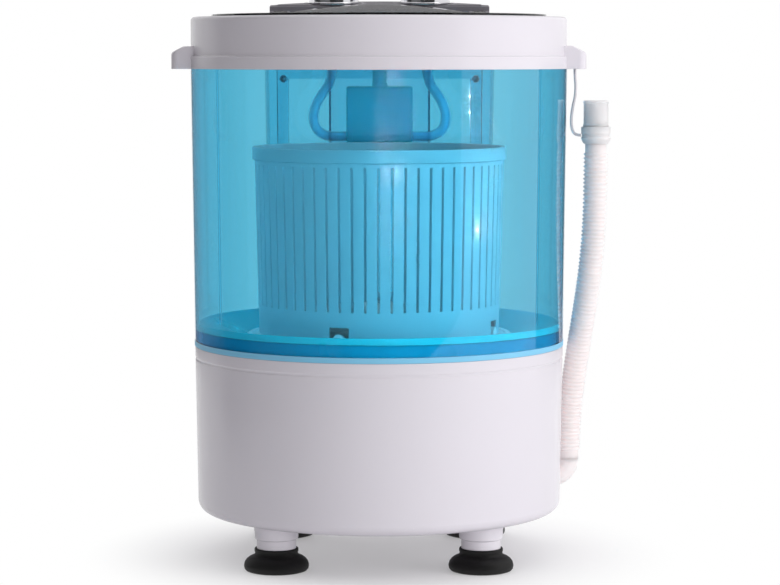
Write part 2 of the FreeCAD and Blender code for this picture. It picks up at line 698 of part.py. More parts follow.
for side, knob_name, switch_name in (("-", "timer", "wash_timer"), ("", "mode", "mode_switch")):
    spot = (f"{side}knob_half_gap", "knob_y", PANEL_HIGH)
    switch = node(body(switch_name, spot, "panel_tilt"))
    case = rectangle(sketch(switch, "XY", "-console_wall - timer_tall"),
                     "-timer_half", "timer_half", "-timer_front", "timer_rear")
    extrude(switch, "Pad", case, "timer_tall")
    soften(switch, "2", upright("timer_half"))
    stem_bore = circle(sketch(switch, "XY"), "0", "0", "shaft_thin + run_gap")
    extrude(switch, "Pocket", stem_bore, "console_wall + timer_tall - 4")
    knob = node(body(f"{knob_name}_knob", spot, "panel_tilt"))
    turned(knob, [
        ("shaft_thin", "plate_thick + body_gap + 3"),
        ("knob_radius - knob_rim", "plate_thick + body_gap + 3"),
        ("knob_radius - knob_rim / 2", "plate_thick + body_gap"),
        ("knob_radius", "plate_thick + body_gap"),
        ("knob_radius", "plate_thick + body_gap + 2"),
        ("knob_radius - knob_draft", "knob_tall - knob_draft", "knob_draft * 1.2"),
        ("knob_radius - 2 * knob_draft", "knob_tall"),
        ("knob_radius - knob_rim", "knob_tall"),
        ("knob_radius - knob_rim", "knob_tall - 3"),
        ("shaft_thin", "knob_tall - 3"),
    ])
    cap = node(body(f"{knob_name}_cap", spot, "panel_tilt"))
    turned(cap, [
        ("0", "knob_tall - 3"),
        ("knob_radius - knob_rim", "knob_tall - 3"),
        ("knob_radius - knob_rim", "knob_tall - 0.6"),
        ("0", "knob_tall - 0.6"),
    ])
    bar = rectangle(sketch(cap, "XY", "knob_tall - 1"), "-knob_rim / 2", "knob_rim / 2",
                    "-knob_radius + knob_rim + 1", "knob_radius - knob_rim - 1")
    extrude(cap, "Pad", bar, "knob_top - knob_tall + 1")
    shaft = node(body(f"{knob_name}_shaft", spot, "panel_tilt"))
    stem = circle(sketch(shaft, "XY", "-console_wall - timer_tall + 5"), "0", "0", "shaft_thin")
    extrude(shaft, "Pad", stem, "console_wall + timer_tall - 5 + knob_tall - 3")

# Wiring duct behind the flat wall, with the terminal box, the sleeve and two looms
duct = node(body("wiring_duct"))
channel = rectangle(sketch(duct, "XY", "bowl_high + 2"), "-duct_half", "duct_half",
                    FLAT_REAR, f"{FLAT_REAR} + duct_deep")
extrude(duct, "Pad", channel, "ring_low - bowl_high - 2")
channel_hollow = rectangle(sketch(duct, "XY", "bowl_high + 1"),
                           "-duct_half + duct_wall", "duct_half - duct_wall",
                           f"{FLAT_REAR} + duct_wall", f"{FLAT_REAR} + duct_deep + 1")
extrude(duct, "Pocket", channel_hollow, "ring_low - bowl_high", back=True)
gate = sketch(duct, "YZ")
LOOM_LOW = "box_low + loom_radius + 1"
for low, high in ((f"{LOOM_LOW} - 7", f"{LOOM_LOW} + 7"), ("box_low + 35", "ring_low + 1")):
    rectangle(gate, "loom_y - 7", f"{FLAT_REAR} + duct_deep + 1", low, high)
extrude(duct, "Pocket", gate, "3 * duct_half", middle=True)

terminal = node(body("terminal_box"))
case = rectangle(sketch(terminal, "XY", "box_low"), "-box_half", "box_half",
                 f"{FLAT_REAR} + duct_wall", f"{FLAT_REAR} + duct_wall + box_deep")
extrude(terminal, "Pad", case, "box_tall")
soften(terminal, "2.5", upright("box_half"))

sleeve = node(body("loom_sleeve"))
sleeve_ring = circle(sketch(sleeve, "XY", "box_low + box_tall"), "0", "loom_y", "sleeve_radius")
extrude(sleeve, "Pad", sleeve_ring, "tub_high + 10 - box_low - box_tall")

for side, name in ((-1, "left"), (1, "right")):
    top = num(f"{PANEL_HIGH} - (console_wall + timer_tall) * cos(panel_tilt) - loom_radius * 0.15")
    half, knob_x, tall = num("box_half"), num("knob_half_gap"), num("box_tall")
    low, mid_y, out = num(LOOM_LOW), num("loom_y"), num("loom_bulge - box_half")
    spots = [
        (knob_x, top), (knob_x, low + tall * 1.04), (half + out * 0.81, low + tall * 0.69),
        (half + out, low + tall * 0.38), (half + out * 0.9, low + tall * 0.12),
        (half + out * 0.56, low), (half + out * 0.25, low), (half, low),
    ]
    edges, radii = route([V(side * x, mid_y, z) for x, z in spots])
    loom = tube(edges, num("loom_radius"))
    told(f"loom_{name}", edges, radii, loom, math.pi * num("loom_radius") ** 2)
    shaped(f"loom_{name}", loom)

# Pulsator with vanes and basket lugs, its screw, and the slotted basket
pulsator = node(body("pulsator"))
turned(pulsator, [
    ("shaft_radius", "disc_low"),
    ("disc_radius", "disc_low"),
    ("disc_radius", "disc_low + disc_thick"),
    ("hub_radius + 8", "disc_low + disc_thick"),
    ("hub_radius", "disc_low + disc_thick + 4"),
    ("hub_radius * 0.8", "hub_high - 6"),
    ("hub_radius * 0.5", "hub_high"),
    ("shaft_radius", "hub_high"),
])
vane = outline(sketch(pulsator, "YZ"), [
    ("hub_radius * 0.6", "disc_low + disc_thick - 1"),
    ("basket_low_radius - basket_wall - 10", "disc_low + disc_thick - 1"),
    ("basket_low_radius - basket_wall - 18", "disc_low + disc_thick + vane_tall"),
    ("hub_radius * 0.6", "disc_low + disc_thick + vane_tall"),
])
around(pulsator, extrude(pulsator, "Pad", vane, "vane_thick", middle=True), "vane_count")
LUG_FRONT = "basket_low_radius - basket_wall / 2"
lug = sketch(pulsator, "XZ", f"({LUG_FRONT}) * cos(lug_turn) - lug_wide / 4")
LUG_X = f"({LUG_FRONT}) * sin(lug_turn)"
outline(lug, [
    (f"{LUG_X} - lug_wide / 2", "disc_low + disc_thick - 1"),
    (f"{LUG_X} - lug_wide / 2", "disc_low + disc_thick + lug_tall - lug_wide / 2",
     "lug_wide / 2 * 1.0001"),
    (f"{LUG_X} + lug_wide / 2", "disc_low + disc_thick + lug_tall - lug_wide / 2"),
    (f"{LUG_X} + lug_wide / 2", "disc_low + disc_thick - 1"),
])
around(pulsator, extrude(pulsator, "Pad", lug, "lug_wide / 2"), "lug_count")

screw = node(body("pulsator_screw"))
turned(screw, [
    ("0", "hub_high"),
    ("hub_radius * 0.42", "hub_high"),
    ("hub_radius * 0.42", "hub_high + 2"),
    ("hub_radius * 0.3", "hub_high + 3.5"),
    ("0", "hub_high + 3.5"),
])

basket = node(body("spin_basket"))
SKIRT_IN = "basket_low_radius - basket_wall"
turned(basket, [
    (SKIRT_IN, "basket_low"),
    ("basket_low_radius", "basket_low"),
    ("basket_high_radius", "rim_low"),
    ("rim_radius", "rim_low"),
    ("rim_radius", "rim_high"),
    ("basket_high_radius - basket_wall", "rim_high"),
])
slot = sketch(basket, "XZ", "basket_low_radius - 4 * basket_wall")
rectangle(slot, "-slot_wide / 2", "slot_wide / 2", "slot_low", "slot_high")
around(basket, extrude(basket, "Pocket", slot, "8 * basket_wall", back=True), "slot_count")
NOTCH_X = "basket_low_radius * sin(lug_turn)"
notch = sketch(basket, "XZ", "basket_low_radius * cos(lug_turn) - 3 * basket_wall")
rectangle(notch, f"{NOTCH_X} - notch_wide / 2", f"{NOTCH_X} + notch_wide / 2",
          "basket_low - 1", "basket_low + notch_tall")
around(basket, extrude(basket, "Pocket", notch, "20", back=True), "lug_count")
basket_plate = node(body("basket_plate"))
turned(basket_plate, [
    ("hub_radius + 6", "basket_floor"),
    (f"{SKIRT_IN} - spigot_gap", "basket_floor"),
    (f"{SKIRT_IN} - spigot_gap", "basket_floor + basket_wall"),
    ("hub_radius + 6", "basket_floor + basket_wall"),
])

# Drive shaft in its bearings, seal and housing under the tub
shaft = node(body("drive_shaft"))
stem = circle(sketch(shaft, "XY", "shaft_low"), "0", "0", "shaft_radius")
extrude(shaft, "Pad", stem, "hub_high - shaft_low")
FLOOR_UNDER = "floor_high - floor_wall"
seal = node(body("shaft_seal"))
turned(seal, [
    ("shaft_radius + run_gap", FLOOR_UNDER),
    ("seal_radius", FLOOR_UNDER),
    ("seal_radius", "floor_high"),
    ("shaft_radius + 4", "floor_high + 1.5"),
    ("shaft_radius + run_gap", "floor_high + 1.5"),
])
housing = node(body("bearing_housing"))
turned(housing, [
    ("bearing_radius - 2", FLOOR_UNDER),
    ("bearing_radius - 2", f"{FLOOR_UNDER} - 6"),
    ("bearing_radius", f"{FLOOR_UNDER} - 6"),
    ("bearing_radius", f"{FLOOR_UNDER} - 6 - bearing_tall"),
    ("bearing_radius - 3", f"{FLOOR_UNDER} - 6 - bearing_tall"),
    ("bearing_radius - 3", "housing_low + bearing_tall"),
    ("bearing_radius", "housing_low + bearing_tall"),
    ("bearing_radius", "housing_low"),
    ("housing_radius", "housing_low"),
    ("housing_radius + 2", f"{FLOOR_UNDER} - flange_thick"),
    ("flange_radius", f"{FLOOR_UNDER} - flange_thick"),
    ("flange_radius", FLOOR_UNDER),
])
bolt_hole = circle(sketch(housing, "XY", FLOOR_UNDER), "flange_radius - 7", "0", "screw_radius + 1")
around(housing, extrude(housing, "Pocket", bolt_hole, "flange_thick"), "lug_count")
for name, low in (("upper", f"{FLOOR_UNDER} - 6 - bearing_tall"), ("lower", "housing_low")):
    bearing = node(body(f"bearing_{name}", ("0", "0", low)))
    turned(bearing, [
        ("shaft_radius + run_gap", "0"),
        ("bearing_radius", "0"),
        ("bearing_radius", "bearing_tall"),
        ("shaft_radius + run_gap", "bearing_tall"),
    ])
bolts = []
for quarter in range(int(num("lug_count"))):
    lean = math.radians(360 / num("lug_count") * quarter)
    spot = V(math.cos(lean), math.sin(lean), 0) * num("flange_radius - 7")
    spot.z = num(f"{FLOOR_UNDER} - flange_thick")
    stem = Part.makeCylinder(num("screw_radius + 1"), num("flange_thick"), spot)
    head = Part.makeCylinder(num("screw_head + 1"), 4, spot - V(0, 0, 4))
    bolts.append(stem.fuse(head).removeSplitter())
shaped("housing_bolts", Part.makeCompound(bolts))


def pulley(name, spot, bore, radius, groove):
    """A grooved pulley round a shaft, level with the belt."""
    part = node(body(name, spot))
    turned(part, [
        (bore, "-pulley_tall / 2"),
        (radius, "-pulley_tall / 2"),
        (radius, "-belt_tall / 2 - 1.5"),
        (groove, "-belt_tall / 2 - 0.3"),
        (groove, "belt_tall / 2 + 0.3"),
        (radius, "belt_tall / 2 + 1.5"),
        (radius, "pulley_tall / 2"),
        (bore, "pulley_tall / 2"),
    ])
    return part


driven = pulley("driven_pulley", ("0", "0", "belt_level"), "shaft_radius", "pulley_radius",
                "pulley_groove")
hole = circle(sketch(driven, "XY", "pulley_tall"), "pulley_groove * 0.58", "0", "pulley_groove * 0.2")
around(driven, extrude(driven, "Pocket", hole, "2 * pulley_tall"), "6")
motor_spot = ("motor_x", "motor_y", "belt_level")
pulley("motor_pulley", motor_spot, "rotor_radius", "motor_groove + belt_thick", "motor_groove")
nut = node(body("pulley_nut"))
hexagon = [(f"(shaft_radius + 4) * cos({turn})", f"(shaft_radius + 4) * sin({turn})")
           for turn in range(0, 360, 60)]
nut_blank = outline(sketch(nut, "XY", "shaft_low + 1"), hexagon)
circle(nut_blank, "0", "0", "shaft_radius")
extrude(nut, "Pad", nut_blank, "belt_level - pulley_tall / 2 - shaft_low - 1")


def belt_loop(extra):
    """A wire round both pulleys, a little outside their grooves."""
    far = V(num("motor_x"), num("motor_y"), 0)
    big, small = num("pulley_groove") + extra, num("motor_groove") + extra
    lean, side = math.atan2(far.y, far.x), math.acos((big - small) / far.Length)

    def on(centre, radius, turn):
        return centre + V(math.cos(turn), math.sin(turn), 0) * radius

    a, b = on(V(), big, lean + side), on(far, small, lean + side)
    c, d = on(far, small, lean - side), on(V(), big, lean - side)
    loop = [
        Part.LineSegment(a, b).toShape(),
        Part.Arc(b, on(far, small, lean), c).toShape(),
        Part.LineSegment(c, d).toShape(),
        Part.Arc(d, on(V(), big, lean + math.pi), a).toShape(),
    ]
    return Part.Wire(loop)


gap = num("run_gap")
band = Part.Face(belt_loop(gap + num("belt_thick"))).cut(Part.Face(belt_loop(gap)))
band.translate(V(0, 0, num("belt_level - belt_tall / 2")))
shaped("drive_belt", band.extrude(V(0, 0, num("belt_tall"))).Solids[0])

# Motor hung under the tub floor on a bracket and spacers, with its capacitor
motor = node(body("motor", ("motor_x", "motor_y", "0")))
turned(motor, [
    ("rotor_radius + run_gap", "motor_low"),
    ("motor_radius * 0.4", "motor_low"),
    ("motor_radius * 0.4", "motor_low + 5"),
    ("motor_radius - 3", "motor_low + 5"),
    ("motor_radius - 3", "motor_low + 20"),
    ("motor_radius", "motor_low + 20"),
    ("motor_radius", "motor_high - 15"),
    ("motor_radius - 3", "motor_high - 15"),
    ("motor_radius - 3", "motor_high"),
    ("rotor_radius + run_gap", "motor_high"),
    ("rotor_radius + run_gap", "motor_high - core_inset"),
    ("core_radius + body_gap", "motor_high - core_inset"),
    ("core_radius + body_gap", "motor_low + core_inset"),
    ("rotor_radius + run_gap", "motor_low + core_inset"),
])
core = node(body("motor_rotor", ("motor_x", "motor_y", "0")))
turned(core, [
    ("rotor_radius", "motor_low + core_inset + 2"),
    ("core_radius", "motor_low + core_inset + 2"),
    ("core_radius", "motor_high - core_inset - 2"),
    ("rotor_radius", "motor_high - core_inset - 2"),
])
rotor = node(body("motor_shaft", ("motor_x", "motor_y", "0")))
stem = circle(sketch(rotor, "XY", "belt_level - pulley_tall / 2 - 3"), "0", "0", "rotor_radius")
extrude(rotor, "Pad", stem, "motor_high - belt_level + pulley_tall / 2 + 1")
bracket = node(body("motor_bracket", ("motor_x", "motor_y", "motor_high")))
steel = rectangle(sketch(bracket, "XY"), "-bracket_half", "bracket_half", "-bracket_half",
                  "bracket_half")
circle(steel, "0", "0", "rotor_radius + 4")
extrude(bracket, "Pad", steel, "bracket_thick")
spacers = node(body("motor_spacers", ("motor_x", "motor_y", "motor_high + bracket_thick")))
spacers.AllowCompound = True
rounds = sketch(spacers, "XY")
for x in ("-spacer_spread", "spacer_spread"):
    for y in ("-spacer_spread", "spacer_spread"):
        circle(rounds, x, y, "spacer_radius")
extrude(spacers, "Pad", rounds, f"{FLOOR_UNDER} - motor_high - bracket_thick")
can = node(body("motor_capacitor", ("can_x", "can_y", "base_low + base_wall")))
turned(can, [
    ("0", "0"),
    ("can_radius", "0"),
    ("can_radius", "can_tall - 2"),
    ("can_radius - 2", "can_tall"),
    ("0", "can_tall"),
])

# Drain: pipe under the tub, elbow out of the base, ribbed hose, collar, cuff and strap
pipe = node(body("drain_pipe", ("drain_x", "drain_y", "0")))
turned(pipe, [
    ("0", "elbow_high - elbow_radius - 2"),
    ("drain_radius", "elbow_high - elbow_radius - 2"),
    ("drain_radius", "boss_low - 6"),
    ("boss_radius", "boss_low - 4"),
    ("boss_radius", "boss_low"),
    ("drain_bore", "boss_low"),
    ("drain_bore", "elbow_high - elbow_radius"),
    ("0", "elbow_high - elbow_radius"),
])
leg_hole = circle(sketch(pipe, "YZ"), "0", "elbow_high", "elbow_radius")
extrude(pipe, "Pocket", leg_hole, "2 * drain_radius", back=True)


def elbow_line():
    """Out of the drain pipe, round the bend and up into the hose."""
    low, x, y = num("elbow_high"), num("hose_x"), num("drain_y")
    bend = num("elbow_bend")
    start, corner = V(num("drain_x"), y, low), V(x - bend, y, low)
    middle = V(x - bend + bend * math.sin(math.pi / 4), y, low + bend - bend * math.cos(math.pi / 4))
    end = V(x, y, low + bend)
    top = V(x, y, num("hose_low + 2 * hose_radius"))
    return [
        Part.LineSegment(start, corner).toShape(),
        Part.Arc(corner, middle, end).toShape(),
        Part.LineSegment(end, top).toShape(),
    ]


line = elbow_line()
stop = Part.makeCylinder(num("elbow_radius"), num("hose_low - elbow_high - elbow_bend"),
                         V(num("hose_x"), num("drain_y"), num("elbow_high + elbow_bend")))
elbow = tube(line, num("spigot_radius")).fuse([tube(line[:2], num("elbow_radius")), stop])
elbow = elbow.cut(tube(line, num("spigot_bore")))
inside_pipe = Part.makeCylinder(num("drain_bore"), num("boss_low"),
                                V(num("drain_x"), num("drain_y"), 0))
shaped("drain_elbow", elbow.cut(inside_pipe).removeSplitter().Solids[0])


def hose_spots():
    """The hose from the elbow up to the collar, straight for a diameter at both ends."""
    low = V(num("hose_x"), num("drain_y"), num("hose_low"))
    high = V(num("hose_top_x"), num("hose_top_y"), num("hose_high"))
    wide = 2 * num("hose_radius")
    foot, head = low + V(0, 0, 1.6 * wide), high - V(0, 0, 1.6 * wide)
    steps = (0.2, 0.4, 0.6, 0.8)
    ease = (0.22, 0.5, 0.78, 0.95)
    spots = [V(*(foot[i] + (head[i] - foot[i]) * (e if i < 2 else s) for i in range(3)))
             for s, e in zip(steps, ease)]
    return [low, foot, *spots, head, high]


def spot_at(edges, far):
    """The point and direction at a distance along the edges."""
    for edge in edges:
        if far <= edge.Length + 1e-6:
            at = edge.getParameterByLength(min(far, edge.Length))
            return edge.valueAt(at), edge.tangentAt(at)
        far -= edge.Length
    raise ValueError("past the end of the hose")


edges, radii = route(hose_spots())
length = sum(edge.Length for edge in edges)
plain = num("2 * hose_pitch")
ribs = min(200, round((length - 2 * plain) / num("hose_pitch")))
step = (length - 2 * plain) / ribs
crest, root = num("hose_radius"), num("hose_root")
rounds = [(0, root)]
for rib in range(ribs):
    start = plain + rib * step
    rounds += [(start, root), (start + step * 0.22, crest), (start + step * 0.58, crest),
               (start + step * 0.8, root)]
rounds.append((length, root))
hose = Part.makeLoft([across_line(*spot_at(edges, far), r) for far, r in rounds], True, True)
hose = hose.cut(tube(edges, num("hose_bore")))
told("drain_hose", edges, radii, hose, math.pi * (((crest + root) / 2) ** 2 - num("hose_bore") ** 2))
print(f"drain_hose: {ribs} ribs")
shaped("drain_hose", hose)

collar = node(body("hose_collar", ("hose_top_x", "hose_top_y", "hose_high")))
turned(collar, [
    ("hose_bore", "0"),
    ("hose_radius", "0"),
    ("collar_radius", "collar_tall * 0.3"),
    ("collar_radius", "collar_tall"),
    ("hose_bore", "collar_tall"),
])
cuff = node(body("hose_cuff", ("hose_top_x", "hose_top_y", "hose_high + collar_tall")))
turned(cuff, [
    ("hose_bore", "0"),
    ("cuff_radius", "0"),
    ("cuff_radius", "cuff_tall - 1.5"),
    ("cuff_radius - 1", "cuff_tall"),
    ("hose_bore + 1", "cuff_tall"),
])

hang_x = num("grip_reach - grip_wall") - 5
hang_y, tie = num("hose_top_y"), num("hose_high + collar_tall / 2")
side_x = num("hose_top_x - collar_radius")
strap_spots = [
    (hang_x, num("ring_low + grip_deep")), (hang_x, num("ring_low") - 2), (hang_x + 1.6, tie + 38),
    (hang_x - 2.2, tie + 22), (hang_x - 3, tie + 10), (hang_x - 1.2, tie + 2.4),
    (hang_x + 2.4, tie), (side_x, tie),
]
edges, radii = route([V(x, hang_y, z) for x, z in strap_spots])
strap = tube(edges, num("strap_radius"))
told("hose_strap", edges, radii, strap, math.pi * num("strap_radius") ** 2)
shaped("hose_strap", strap)

gland = node(body("cable_gland", ("gland_x", "0", "gland_high"), "-90"))
BASE_SLOPE = "(base_high_radius - base_low_radius) / (base_high - base_low)"
GLAND_ROUND = f"base_low_radius + (gland_high - base_low) * {BASE_SLOPE}"
GLAND_SKIN = f"sqrt(({GLAND_ROUND})^2 - gland_x^2)"
turned(gland, [
    ("gland_radius * 0.45", f"{GLAND_SKIN} - 12"),
    ("gland_radius", f"{GLAND_SKIN} - 12"),
    ("gland_radius", f"{GLAND_SKIN} + 6"),
    ("gland_radius * 0.7", f"{GLAND_SKIN} + 12"),
    ("gland_radius * 0.45", f"{GLAND_SKIN} + 12"),
])

doc.recompute()
for obj in doc.Objects:
    if "Invalid" in obj.State or "Error" in obj.State:
        raise RuntimeError(f"{obj.Label}: {obj.State}")
for obj in NODES:
    if obj.Shape.isNull() or not obj.Shape.isValid() or not obj.Shape.Solids:
        raise RuntimeError(f"{obj.Label} has no valid solid")
    obj.Shape.exportStep(f"parts/{obj.Label}.step")
print(f"{len(NODES)} pieces")
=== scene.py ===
"""Looks of a mini washing machine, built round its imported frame."""

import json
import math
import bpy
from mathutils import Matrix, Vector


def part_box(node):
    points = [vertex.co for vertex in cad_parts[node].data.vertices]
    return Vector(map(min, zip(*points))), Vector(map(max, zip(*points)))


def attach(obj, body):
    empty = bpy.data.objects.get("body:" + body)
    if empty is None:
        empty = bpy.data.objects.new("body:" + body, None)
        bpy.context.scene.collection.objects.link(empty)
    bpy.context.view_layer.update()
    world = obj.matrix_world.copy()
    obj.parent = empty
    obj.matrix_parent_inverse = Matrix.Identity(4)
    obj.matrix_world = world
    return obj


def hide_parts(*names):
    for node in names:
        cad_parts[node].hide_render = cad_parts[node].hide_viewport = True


bl_info = {
    "name": "Mini washing machine",
    "version": (1, 0, 0),
    "blender": (4, 5, 0),
    "location": "View3D > Sidebar > Washer",
    "description": "Builds the visible pieces, finishes and stage of a small tub washer with a spin basket",
    "category": "Object",
}

import bmesh
import bpy
from bmesh.types import BMEdge, BMVert
from bpy.props import FloatProperty, FloatVectorProperty, IntProperty, PointerProperty
from mathutils import Matrix, Vector

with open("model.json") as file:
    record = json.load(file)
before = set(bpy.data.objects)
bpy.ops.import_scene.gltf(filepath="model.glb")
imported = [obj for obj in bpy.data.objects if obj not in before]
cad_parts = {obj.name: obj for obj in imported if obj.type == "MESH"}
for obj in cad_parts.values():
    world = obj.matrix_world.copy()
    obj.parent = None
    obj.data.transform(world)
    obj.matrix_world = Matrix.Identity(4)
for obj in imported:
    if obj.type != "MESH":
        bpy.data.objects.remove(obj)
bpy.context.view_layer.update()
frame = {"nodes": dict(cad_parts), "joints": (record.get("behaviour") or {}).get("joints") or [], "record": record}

# Sizes are in mm and are turned to metres by this factor
MM = 0.001

# Heights and lines that several pieces share
BASE_LOW = 41
BASE_HIGH = 187
TUB_TOP = 436
RING_TOP = 475
DECK_FRONT = 113.5
DISC_FACE = 196.5

# Turns about the upright axis and the panel's slope
FRONT = -math.pi / 2
LUG_TURN = math.radians(18.7)
PANEL_TILT = math.radians(6)
UPRIGHT = {"cent": (0, 0, 0), "axis": (0, 0, 1), "dvec": (0, 0, 0)}
ACROSS = Matrix.Rotation(math.pi / 2, 4, "Y")

# Slow patterns in the finishes, and how deep light goes into the milky ones
DRIFT_SIZE = 60
RIPPLE_SIZE = 45
MILKY_DEPTH = 12

CURVE_STEPS = 24

# Where the joints of the frame put the lid's hinge line, and the knobs on the sloping panel
HINGE = next(Vector(joint["pos_m"]) / MM for joint in frame["joints"] if joint["name"] == "lid_hinge")
KNOB_SEATS = {
    joint["child"]: Matrix.Translation(joint["pos_m"]) @ Matrix.Rotation(PANEL_TILT, 4, "X")
    for joint in frame["joints"] if joint["name"].endswith("_turn")
}


def linear(colour):
    """An sRGB hex colour as linear red, green and blue with full alpha."""
    parts = [int(colour[i:i + 2], 16) / 255 for i in (1, 3, 5)]
    return [c / 12.92 if c <= 0.04045 else ((c + 0.055) / 1.055) ** 2.4 for c in parts] + [1.0]


def tone(name, about, colour):
    """A colour that a user may change."""
    return FloatVectorProperty(
        name=name, description=about, subtype="COLOR", size=4, min=0.0, max=1.0, default=linear(colour)
    )


def span(name, about, size):
    """A length in metres that a user may change."""
    return FloatProperty(name=name, description=about, default=size, min=0.0, unit="LENGTH", precision=5)


class WasherSizes(bpy.types.PropertyGroup):
    """Sizes that may be changed without moving a piece off its seat."""

    steps: IntProperty(name="Round steps", description="Sides of the large round pieces", default=160, min=80)
    slots: IntProperty(name="Basket slots", description="Slots round the spin basket", default=60, min=12)
    slot_wide: span("Slot width", "Width of a basket slot", 0.0023)
    rib_pitch: span("Hose rib pitch", "Distance between two ribs of the drain hose", 0.0036)
    hose_wide: span("Hose diameter", "Diameter of the drain hose over its ribs", 0.0214)
    tie_wide: span("Tie diameter", "Diameter of the tie that holds the hose up", 0.0025)
    loom_wide: span("Loom diameter", "Diameter of a wire loom behind the tub", 0.009)


class WasherColours(bpy.types.PropertyGroup):
    """Colours of the finishes."""

    shell: tone("Shell", "Gloss white housing, ring and grips", "#E3DFE5")
    tub: tone("Tub", "What the clear blue tub lets through", "#46DCEE")
    bowl: tone("Bowl", "The tub's bowl floor", "#08D3DD")
    # The seam's pale tone is a painted highlight on the tub's foot, over a rough frosted finish
    seam: tone("Seam", "Frosted band round the tub's foot, painted pale as a highlight", "#86CFF0")
    basket: tone("Basket", "Satin pale blue basket", "#A7C2CE")
    pulsator: tone("Pulsator", "Satin white pulsator", "#E8EEF2")
    lid: tone("Lid", "What the smoked lid lets through", "#8F8A8B")
    console: tone("Console", "Console body", "#7F7C82")
    panel: tone("Panel", "Console face plate", "#7C797F")
    mark: tone("Dial marks", "Printed marks round the knobs", "#F2F1F4")
    chrome: tone("Chrome", "Plated knobs", "#DCDBDF")
    cap: tone("Knob cap", "Insets of the knobs", "#C9C7CC")
    rubber: tone("Rubber", "Feet, seal and gland", "#050404")
    hose: tone("Hose", "Ribbed drain hose and its fittings", "#F8EFED")
    tie: tone("Tie", "Hose tie", "#E4E0E2")
    duct: tone("Duct", "What the wiring duct lets through", "#2FAAD0")
    box: tone("Box", "Terminal box and sleeve", "#00E9E0")
    loom: tone("Loom", "Sleeving of the wire looms", "#F2FAFC")
    steel: tone("Steel", "Bright steel fixings and shafts", "#BDBDC2")
    floor: tone("Floor", "Studio floor", "#F3F1F4")


def add(tree, kind, inputs=None, **settings):
    """A new node with its settings; an input takes a value or another node's output."""
    node = tree.nodes.new(kind)
    for key, value in settings.items():
        setattr(node, key, value)
    for key, value in (inputs or {}).items():
        if isinstance(value, bpy.types.NodeSocket):
            tree.links.new(value, node.inputs[key])
        else:
            node.inputs[key].default_value = value
    return node


def blank(name):
    """A new material, its tree, its shader's sockets and places on the object."""
    mat = bpy.data.materials.new(name)
    mat.use_nodes = True
    tree = mat.node_tree
    return mat, tree, tree.nodes["Principled BSDF"].inputs, add(tree, "ShaderNodeTexCoord").outputs["Object"]


def moulded(name, colour, rough, grain, deep, drift=0.05, metal=0.0, stretch=(1, 1, 1), milky=0.0):
    """A finish with grain and its depth in mm, a slow drift of tone and gloss, and milky depth if any."""
    mat, tree, skin, place = blank(name)
    grain_place = add(tree, "ShaderNodeMapping", {"Vector": place, "Scale": stretch}).outputs[0]
    slow = add(tree, "ShaderNodeTexNoise", {
        "Vector": place, "Scale": 1 / (DRIFT_SIZE * MM), "Detail": 2.0}).outputs[0]
    fine = add(tree, "ShaderNodeTexNoise", {
        "Vector": grain_place, "Scale": 1 / (grain * MM), "Detail": 3.0}).outputs[0]
    shade = [c * (1 - drift) for c in colour[:3]] + [1.0]
    hue = add(tree, "ShaderNodeMix", {0: slow, 6: shade, 7: list(colour)}, data_type="RGBA").outputs[2]
    gloss = add(tree, "ShaderNodeMapRange", {
        "Value": slow, "To Min": rough * 0.7, "To Max": rough * 1.3}).outputs[0]
    bump = add(tree, "ShaderNodeBump", {"Height": fine, "Strength": 1.0, "Distance": deep * MM}).outputs[0]
    for socket, value in (("Base Color", hue), ("Roughness", gloss), ("Normal", bump)):
        tree.links.new(value, skin[socket])
    skin["Metallic"].default_value = metal
    skin["Subsurface Weight"].default_value = milky
    skin["Subsurface Radius"].default_value = (1.0, 0.92, 0.9)
    skin["Subsurface Scale"].default_value = MILKY_DEPTH * MM
    return mat


def clear(name, lets_through, density, ior, ripple):
    """A clear moulded wall: polished faces with a faint ripple in mm, coloured by its own thickness."""
    mat, tree, skin, place = blank(name)
    wave = add(tree, "ShaderNodeTexNoise", {
        "Vector": place, "Scale": 1 / (RIPPLE_SIZE * MM), "Detail": 1.0}).outputs[0]
    bump = add(tree, "ShaderNodeBump", {"Height": wave, "Strength": 1.0, "Distance": ripple * MM}).outputs[0]
    tree.links.new(bump, skin["Normal"])
    skin["Base Color"].default_value = (1, 1, 1, 1)
    skin["Roughness"].default_value = 0.02
    skin["IOR"].default_value = ior
    skin["Transmission Weight"].default_value = 1.0
    lamps = add(tree, "ShaderNodeLightPath").outputs["Is Shadow Ray"]
    open_way = add(tree, "ShaderNodeBsdfTransparent").outputs[0]
    glass = tree.nodes["Principled BSDF"].outputs[0]
    surface = add(tree, "ShaderNodeMixShader", {0: lamps, 1: glass, 2: open_way}).outputs[0]
    depth = add(tree, "ShaderNodeVolumeAbsorption", {
        "Color": list(lets_through), "Density": density}).outputs[0]
    end = tree.nodes["Material Output"].inputs
    tree.links.new(surface, end["Surface"])
    tree.links.new(depth, end["Volume"])
    return mat


